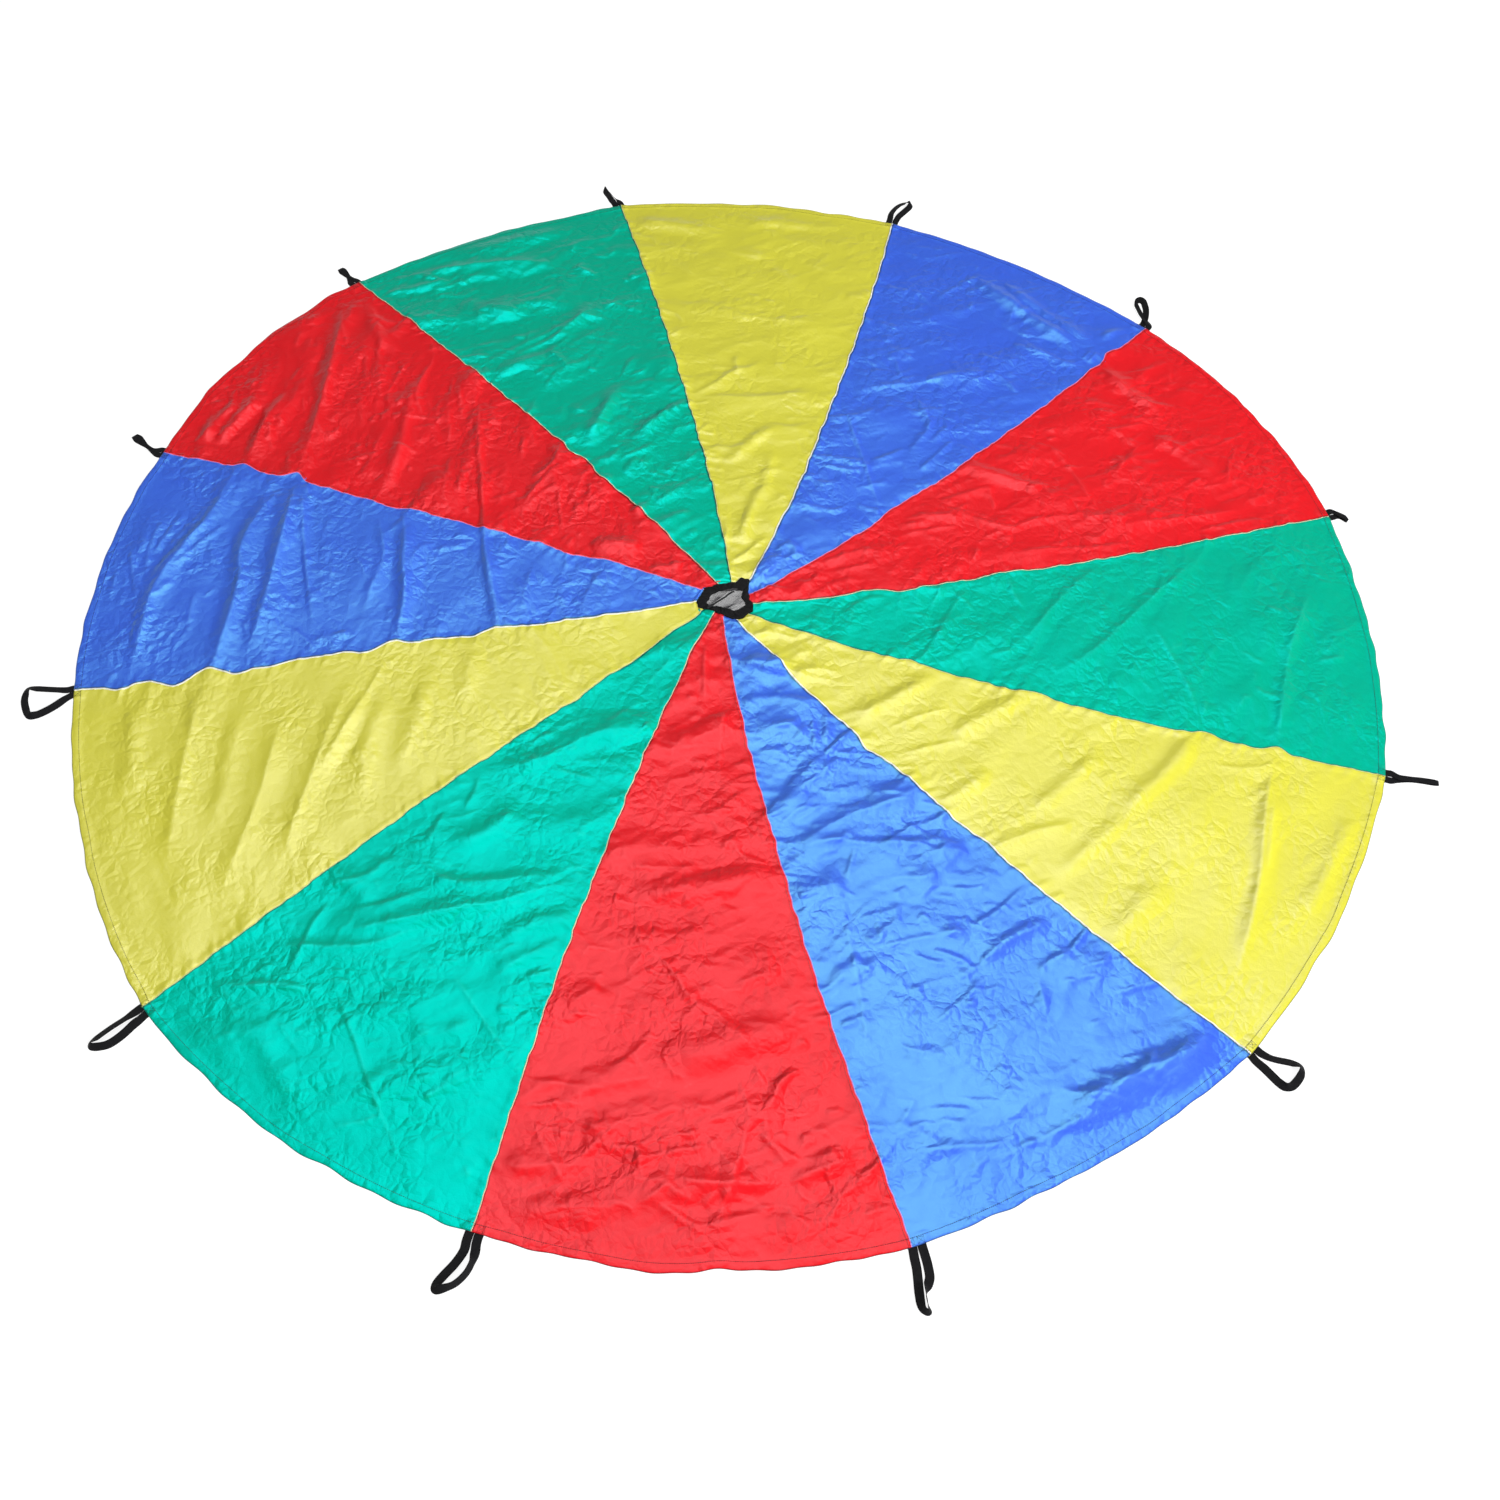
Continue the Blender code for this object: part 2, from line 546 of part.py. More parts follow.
def material(name, rgb, roughness):
    finish = bpy.data.materials.new(name)
    finish.use_nodes = True
    shader = finish.node_tree.nodes["Principled BSDF"]
    shader.inputs["Base Color"].default_value = (*rgb, 1.0)
    shader.inputs["Roughness"].default_value = roughness
    shader.inputs["Metallic"].default_value = 0.0
    finish.diffuse_color = (*rgb, 1.0)
    return finish


def handle_pivot(handle, parts):
    """An empty on a handle's hinge line: X out from the rim, Y anticlockwise along it."""
    angle, radius = seam_rim(handle)
    along = Matrix.Rotation(angle, 3, "Z")
    shift = HANDLE_SHARES[handle][0] * HANDLE_SHIFT
    pivot = bpy.data.objects.new(f"handle_{handle + 1:02d}_hinge", None)
    pivot.location = along @ Vector((radius + HINGE_OVERHANG, shift, STRAP_THICKNESS))
    pivot.rotation_euler = (0.0, 0.0, angle)
    pivot.empty_display_size = HEM_WIDTH
    parts.objects.link(pivot)
    return pivot


def main():
    for old in list(bpy.data.objects):
        bpy.data.objects.remove(old)
    parts = bpy.data.collections.new("play_parachute")
    bpy.context.scene.collection.children.link(parts)
    cloth = {name: material(f"{name}_taffeta", rgb, 0.42) for name, rgb in CLOTH_RGB.items()}
    webbing = material("black_webbing", (0.012, 0.012, 0.014), 0.75)
    tape = material("black_tape", (0.014, 0.014, 0.016), 0.7)
    thread = material("grey_net", (0.28, 0.27, 0.29), 0.6)

    def add(piece, finish, parent=None):
        piece.data.materials.append(finish)
        piece.parent = parent
        parts.objects.link(piece)

    for gore in range(GORE_COUNT):
        add(build_gore(gore), cloth[GORE_COLOURS[gore % len(GORE_COLOURS)]])
    for handle in range(GORE_COUNT):
        pivot = handle_pivot(handle, parts)
        add(build_loop(handle), webbing, pivot)
        for side in (1, -1):
            add(build_strap_end(handle, side), webbing, pivot)
    add(build_net(), thread)
    add(build_tape(), tape)


main()
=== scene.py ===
"""Play parachute, laid out on a plain floor.

Twelve gores of thin taffeta lie lapped over each other along radial seams and are hemmed round the rim. A
webbing handle is sewn under the hem at each seam's end, and a net under a ring of tape covers the vent.
Metres, +Z up, origin on the floor under the middle of the canopy.
"""

from __future__ import annotations

import logging
import math
from dataclasses import dataclass, field, replace
from enum import Enum
from typing import Iterable, Sequence

import bmesh
import bpy
import numpy as np
from mathutils import Matrix, Vector

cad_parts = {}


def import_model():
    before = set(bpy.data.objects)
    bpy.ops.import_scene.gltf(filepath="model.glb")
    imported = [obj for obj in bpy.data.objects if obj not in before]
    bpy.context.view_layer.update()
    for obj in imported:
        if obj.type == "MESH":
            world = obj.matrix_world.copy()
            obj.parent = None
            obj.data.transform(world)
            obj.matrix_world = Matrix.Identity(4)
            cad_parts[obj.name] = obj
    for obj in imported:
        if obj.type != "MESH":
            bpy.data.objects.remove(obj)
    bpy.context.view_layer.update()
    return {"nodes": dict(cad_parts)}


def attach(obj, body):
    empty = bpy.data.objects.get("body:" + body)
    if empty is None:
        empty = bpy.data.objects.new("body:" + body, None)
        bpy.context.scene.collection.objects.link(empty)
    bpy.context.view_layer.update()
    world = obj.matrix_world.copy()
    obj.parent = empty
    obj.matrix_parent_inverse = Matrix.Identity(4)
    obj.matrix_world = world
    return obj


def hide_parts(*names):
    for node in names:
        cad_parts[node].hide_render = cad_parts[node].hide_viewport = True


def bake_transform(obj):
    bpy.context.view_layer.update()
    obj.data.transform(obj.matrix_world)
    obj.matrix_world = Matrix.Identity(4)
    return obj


Array = np.ndarray
Pair = tuple[float, float]
Triple = tuple[float, float, float]
Material = bpy.types.Material
Tree = bpy.types.NodeTree
Socket = bpy.types.NodeSocket
Object = bpy.types.Object
LOG = logging.getLogger("play_parachute")
CANOPY_BODY = "canopy"
# How far the feet of a handle whose shift is 1 lie along the rim from the end of their seam.
HANDLE_SHIFT = 0.012


class Colour(Enum):
    """The four colours of cloth, each with the record's material slot that it stands for."""

    YELLOW = "cloth_yellow"
    BLUE = "cloth_blue"
    RED = "cloth_red"
    GREEN = "cloth_green"

    @classmethod
    def of_gore(cls, gore: int) -> Colour:
        """The colour of a gore, counted clockwise from the far one."""
        return list(cls)[gore % 4]


class SeamKind(Enum):
    """What shows along a seam.

    The overlocked edge's width in metres and its colour, and the colour and place of the dark row of thread
    beside it, in metres clockwise from the edge. The row is real stitching whose thread is darkened to paint
    the shade along the seam.
    """

    GREEN_YELLOW = (0.0020, (0.62, 0.68, 0.28), "GREEN", -0.0014)
    YELLOW_BLUE = (0.0036, (0.88, 0.89, 0.76), "BLUE", 0.0046)
    BLUE_RED = (0.0019, (0.58, 0.26, 0.60), "RED", 0.0075)
    RED_GREEN = (0.0019, (0.76, 0.64, 0.42), "RED", -0.0014)

    @classmethod
    def of_seam(cls, seam: int) -> SeamKind:
        """The kind of the seam on a gore's anticlockwise side."""
        return list(cls)[seam % 4]


class Profile(Enum):
    """The cross-section of a ridge in the cloth, by the letter that stands for it in the list of ridges."""

    CREASE = "c"
    FOLD = "f"
    LIP = "l"


def smooth(value: Array | float) -> Array | float:
    """0 up to 0, 1 from 1 on, and an S-curve between."""
    value = np.clip(value, 0.0, 1.0)
    return value * value * (3.0 - 2.0 * value)


def mix(low: Array | float, high: Array | float, share: Array | float) -> Array | float:
    """The value a share of the way from low to high."""
    return low + (high - low) * share


def unit(angle: Array | float) -> Array:
    """Directions in the plan, one row for each angle in radians."""
    return np.stack([np.cos(angle), np.sin(angle)], axis=-1)


def right_of(direction: Array) -> Array:
    """Directions in the plan, turned a quarter clockwise."""
    return np.stack([direction[..., 1], -direction[..., 0]], axis=-1)


def unit_rows(rows: Array) -> Array:
    """Each row scaled to length 1."""
    return rows / np.maximum(np.linalg.norm(rows, axis=-1, keepdims=True), 1e-12)


def travelled(points: Array) -> Array:
    """How far along a line of points each of them lies, from zero."""
    steps = np.linalg.norm(np.diff(points, axis=0), axis=1)
    return np.concatenate([[0.0], np.cumsum(steps)])


def evenly(points: Array, count: int) -> Array:
    """The same line of points, taken again at even steps."""
    along = travelled(points)
    goals = np.linspace(0.0, along[-1], count)
    return np.stack([np.interp(goals, along, points[:, axis]) for axis in range(points.shape[1])], axis=1)


# The plan of the canopy


@dataclass(frozen=True)
class CanopyPlan:
    """The outline of the canopy in the plan, with its seams and its vent."""

    radius: float = 1.75
    hem_width: float = 0.021
    lap: float = 0.010
    bow: float = 0.045
    drift: float = 0.040
    gores: int = 12
    first_seam_deg: float = 105.0
    hub_share: float = 0.235
    vent_ease: float = 0.06
    vent_radius: float = 0.095
    tape_width: float = 0.022
    tape_over_cloth: float = 0.009
    drift_shares: tuple[float, ...] = (-0.15, -0.15, -1.0, -0.4, 0.0, 0.1, -0.1, 0.0, -0.2, -1.4, 0.0, 0.1)
    seam_rim_shares: tuple[float, ...] = (
        1.012, 0.998, 1.002, 1.006, 0.998, 0.990, 0.998, 1.006, 1.014, 0.982, 0.990, 1.012)
    gore_rim_shares: tuple[float, ...] = (
        0.998, 0.990, 1.009, 0.994, 0.986, 0.983, 1.003, 1.009, 0.992, 0.985, 1.012, 0.999)
    bow_shares: tuple[float, ...] = (0.82, 0.95, 1.12, 0.93, 0.90, 1.0, 1.25, 1.35, 0.93, 0.72, 0.86, 0.84)
    vent_deg: tuple[float, ...] = (
        76.0, 50.0, 24.0, -4.0, -34.0, -62.0, -92.0, -122.0, -152.0, -180.0, -212.0, -248.0)
    vent_offset: Pair = (-0.21, 0.10)
    vent_corners: tuple[Pair, ...] = ((-0.83, -0.26), (-0.50, 0.50), (0.68, 0.72), (0.80, -0.36), (0.25, -0.76))
    wander_at: tuple[float, ...] = (0.05, 0.12, 0.35, 0.60, 0.85, 1.00)
    wander_mm: tuple[tuple[float, ...], ...] = (
        (0, 4, -3, -3, 0, 4), (0, 5, -6, -9, -8, -3), (0, 10, 0, -3, 0, 4), (0, 4, -4, -9, -7, -8),
        (0, -3, -6, -10, -9, -8), (0, 0, -9, -8, -7, -3), (0, 0, -5, -6, 1, 3), (0, 4, -4, -6, -3, -4),
        (0, 6, 2, -5, -4, -6), (0, 8, 6, 8, 8, 4), (0, 12, 3, -5, -14, -8), (0, 5, -2, -2, -1, 0))
    # Where folds pull a seam aside: the seam, its place in hundredths of the radius, how far it strays
    # anticlockwise in millimetres, and over how many hundredths of the radius to each side.
    pulls: tuple[tuple[int, float, float, float], ...] = (
        (0, 8, -8, 3), (1, 11, -13, 4), (2, 12, -8, 2), (2, 34, 10, 4), (2, 46, -7, 3), (2, 84, 7, 1.5),
        (2, 89.5, 15, 2), (3, 22, 14, 2), (3, 28, -8, 2.5), (3, 44, 9, 3), (4, 29, 12, 2), (4, 49, 9, 2.5),
        (4, 74, 17, 2), (4, 84, 20, 1.5), (5, 12, -10, 2), (5, 15, 7, 1.5), (5, 20.5, -8, 2), (5, 33, -9, 2),
        (5, 41, 5, 2), (5, 56, 8, 2), (6, 3, 10, 2), (7, 16, -6, 3), (8, 6.5, -13, 2), (8, 12, 20, 2.5),
        (8, 20, 9, 4), (8, 30, 8, 5), (9, 7, 20, 1.5), (9, 11, 16, 2.5), (9, 18, 9, 3), (9, 36.5, -12, 2),
        (9, 40, 9, 2), (9, 52, -15, 2), (9, 56, 8, 2), (9, 71, 12, 3), (9, 75, 16, 2), (9, 79, -10, 1.8),
        (9, 84, 28, 2.5), (9, 92, 18, 2), (10, 6, 12, 2), (10, 11, 14, 2.5), (10, 21, -9, 2.5),
        (10, 28, 9, 3.5), (10, 59, 9, 3), (10, 76, -24, 1.6), (10, 85, -13, 1.5), (11, 5, 7, 1.5),
        (11, 8.5, -9, 1.8), (11, 34, 8, 2), (11, 39, -7, 2), (11, 42, 6, 1.5))
    # Bumps of the rim: the angle, how far out in millimetres, and the half width in degrees.
    bumps: tuple[tuple[float, float, float], ...] = (
        (138.5, 9, 1.6), (142, -5, 1.5), (146, 5, 1.2), (151, -4, 1.6), (156, 5, 1.2), (159, -4, 1.2), (88, 8, 2.4),
        (82, -3, 1.5), (-92.8, 6, 3.2), (-88.3, -4, 1.2), (-103, -3, 2), (-66, -3, 2.4), (-55, 3, 1.6),
        (-121, 4, 2.6), (-137, -3, 2), (169, 3, 2), (182, -3, 2.4), (118, 4, 2.2), (111, -3, 1.6), (60, 3, 2.2),
        (28, -3, 2), (-2, 3, 2.4), (-31, 4, 2.2), (-152, -3, 2))

    @property
    def vent_middle(self) -> Array:
        """The vent's own middle, which lies a little off the canopy's."""
        return np.array(self.vent_offset) * self.vent_radius

    def vent_outline(self, inset: float) -> Array:
        """The vent's five-sided outline, moved inwards, anticlockwise round the vent's middle.

        Args:
            inset: How far the outline is moved inwards.

        Returns:
            The corners, one row each.
        """
        corners = np.array(self.vent_corners[::-1]) * self.vent_radius
        ahead = np.roll(corners, -1, axis=0)
        inward = -right_of(unit_rows(ahead - corners))
        start, end = corners + inward * inset, ahead + inward * inset
        moved = []
        for index in range(len(corners)):
            before, along_a = start[index - 1], end[index - 1] - start[index - 1]
            along_b = end[index] - start[index]
            across = start[index] - before
            reach = (across[0] * along_b[1] - across[1] * along_b[0]) / (
                along_a[0] * along_b[1] - along_a[1] * along_b[0])
            moved.append(before + along_a * reach)
        return np.array(moved)

    def outline_reach(self, outline: Array, angle: Array) -> Array:
        """How far an outline round the vent's middle lies from it in each direction."""
        aim = unit(angle)
        reach = np.full(len(aim), self.vent_radius * 2)
        for first, second in zip(outline, np.roll(outline, -1, axis=0)):
            edge = second - first
            cross = aim[:, 0] * edge[1] - aim[:, 1] * edge[0]
            cross = np.where(np.abs(cross) < 1e-9, 1e-9, cross)
            far = (first[0] * edge[1] - first[1] * edge[0]) / cross
            on = (first[0] * aim[:, 1] - first[1] * aim[:, 0]) / cross
            hit = (far > 0) & (on >= -1e-6) & (on <= 1 + 1e-6)
            reach = np.where(hit, np.minimum(reach, far), reach)
        return reach

    def onto_vent(self, outline: Array, places: Array) -> Array:
        """Places moved to where an outline lies in their direction from the vent's middle."""
        aim = places - self.vent_middle
        angle = np.arctan2(aim[:, 1], aim[:, 0])
        return self.vent_middle + unit(angle) * self.outline_reach(outline, angle)[:, None]

    def seam_angle(self, seam: int) -> float:
        """The direction in which a seam would run if it were straight."""
        return math.radians(self.first_seam_deg - 360.0 / self.gores * (seam % self.gores))

    def seam_rim(self, seam: int) -> tuple[float, float]:
        """A seam's end at the rim's outer edge: its angle and its radius."""
        seam %= self.gores
        drift = self.drift * self.drift_shares[seam] / self.radius
        return self.seam_angle(seam) + drift, self.radius * self.seam_rim_shares[seam]

    def seam_line(self, seam: int, shares: Array) -> Array:
        """The edge that shows along a seam.

        Args:
            seam: The seam, on the anticlockwise side of the gore of the same number.
            shares: Places along it, from 0 at the vent to 1 at the hem's inner edge.

        Returns:
            The places in the plan, one row each.
        """
        seam %= self.gores
        turn = np.radians(self.vent_deg[seam])
        reach_in = self.outline_reach(self.vent_outline(self.tape_over_cloth), np.array([turn]))
        inner = self.vent_middle + unit(turn) * reach_in
        rim_angle, rim_radius = self.seam_rim(seam)
        reach = mix(np.linalg.norm(inner), rim_radius - self.hem_width, shares)
        along = reach / self.radius
        side = -self.bow * self.bow_shares[seam] * (1 - np.minimum(along, 1.0) ** 3)
        side = side + self.wander(seam, along)
        angle = mix(self.seam_angle(seam), rim_angle, along) + np.arctan2(side, reach)
        outer = unit(angle) * reach[:, None]
        return mix(inner, outer, smooth(shares / self.hub_share)[:, None])

    def wander(self, seam: int, along: Array) -> Array:
        """How far a seam strays from its even bow, anticlockwise, in metres."""
        knots, strays = self.wander_at, np.array(self.wander_mm[seam]) / 1000
        total = np.zeros_like(along)
        for start, end, low, high in zip(knots, knots[1:], strays, strays[1:]):
            inside = (along >= start) & (along < end)
            total = np.where(inside, mix(low, high, smooth((along - start) / (end - start))), total)
        total = np.where(along >= knots[-1], strays[-1], total)
        for at, where, stray, half in self.pulls:
            if at == seam:
                total = total + stray / 1000 * np.exp(-(((along * 100 - where) / half) ** 2))
        rng = np.random.default_rng(60 + seam)
        for length, size in ((0.035, 0.0007), (0.062, 0.0013), (0.115, 0.0024)):
            wave = np.sin(along * self.radius * 2 * math.pi / (length * rng.uniform(0.8, 1.25)) + rng.uniform(0, 6.28))
            total = total + wave * size * mix(0.9, 0.45, along) * smooth(along * 9) * smooth((1 - along) / 0.05)
        return total

    def gore_points(self, gore: int, share: float, across: Array) -> Array:
        """Places across a gore, from its own seam to its lap under the next gore.

        Args:
            gore: The gore.
            share: How far out, from 0 at the vent to 1 at the hem's inner edge.
            across: Places across, from 0 to 1.

        Returns:
            The places in the plan, one row each.
        """
        near = np.array([share, share + 0.01])
        first = self.seam_line(gore, near[:1])[0]
        ahead = self.seam_line(gore + 1, near)
        second = ahead[0] + right_of(unit_rows(ahead[1] - ahead[0])) * self.lap
        rim_middle = (self.seam_rim(gore)[1] + self.seam_rim(gore + 1)[1]) / 2
        bulge = (self.radius * self.gore_rim_shares[gore] - rim_middle) * share
        places = self.polar_mix(first, second, across, bulge)
        if share < self.vent_ease:
            around = self.polar_mix(first - self.vent_middle, second - self.vent_middle, across, 0.0)
            held = self.onto_vent(self.vent_outline(self.tape_over_cloth), self.vent_middle + around)
            places = mix(held, places, smooth(share / self.vent_ease))
        if share > 0.92:
            angle = np.degrees(np.arctan2(places[:, 1], places[:, 0]))
            out = sum(high / 1000 * np.exp(-((((angle - at + 180) % 360 - 180) / half) ** 2))
                      for at, high, half in self.bumps)
            places = places + unit_rows(places) * (out * smooth((share - 0.92) / 0.08))[:, None]
        return places

    @staticmethod
    def polar_mix(first: Array, second: Array, share: Array, bulge: float) -> Array:
        """Places between two others, along an arc round the middle, that swell outwards by bulge."""
        angle = math.atan2(first[1], first[0])
        turn = (math.atan2(second[1], second[0]) - angle + math.pi) % (2 * math.pi) - math.pi
        radius = mix(np.linalg.norm(first), np.linalg.norm(second), share) + bulge * 4 * share * (1 - share)
        return unit(angle + turn * share) * radius[:, None]


# How the cloth lies


@dataclass(frozen=True)
class Ridge:
    """A crease or fold of the cloth as it lies: a ridge along a line, which fades at both ends."""

    profile: Profile
    height: float
    width: float
    line: Array
    ends: float = 0.3
    facing: float = 1.0

    @classmethod
    def listed(cls, text: str) -> list[Ridge]:
        """Reads ridges from a list.

        Args:
            text: On each line a profile's letter, a height and a half width in millimetres, and the places
                along the ridge in centimetres in the plan.

        Returns:
            The ridges.
        """
        found = []
        for row in text.strip().splitlines():
            letter, height, width, *places = row.split()
            route = np.array([[float(part) for part in place.split(",")] for place in places]) / 100
            ahead, behind = mix(route[:-1], route[1:], 0.75), mix(route[:-1], route[1:], 0.25)
            corners = np.stack([behind, ahead], axis=1).reshape(-1, 2)
            line = np.concatenate([route[:1], corners, route[-1:]])
            found.append(cls(Profile(letter), float(height) / 1000, float(width) / 1000, line))
        return found


@dataclass(frozen=True)
class Lie:
    """How one gore's cloth lies between its larger folds."""

    heading: float
    spread: float
    wave: float
    creases: int
    bold: float = 1.0


# From the far yellow gore clockwise: the direction of its wrinkles and their spread in degrees, the height of its
# waves in millimetres, the number of its creases and how bold its creases and ridges are.
LIES: tuple[Lie, ...] = (
    Lie(8, 40, 1.3, 90, 0.8), Lie(12, 45, 1.3, 160, 1.0), Lie(18, 32, 1.7, 170, 1.3), Lie(48, 35, 1.3, 90, 0.9),
    Lie(45, 30, 0.8, 70, 0.55), Lie(24, 32, 2.0, 220, 1.3), Lie(10, 38, 2.2, 200, 1.5), Lie(14, 36, 1.3, 160, 0.7),
    Lie(97, 28, 0.7, 70, 0.45), Lie(82, 38, 1.0, 160, 0.7), Lie(78, 36, 2.7, 190, 1.5), Lie(22, 36, 2.7, 170, 1.6),
)

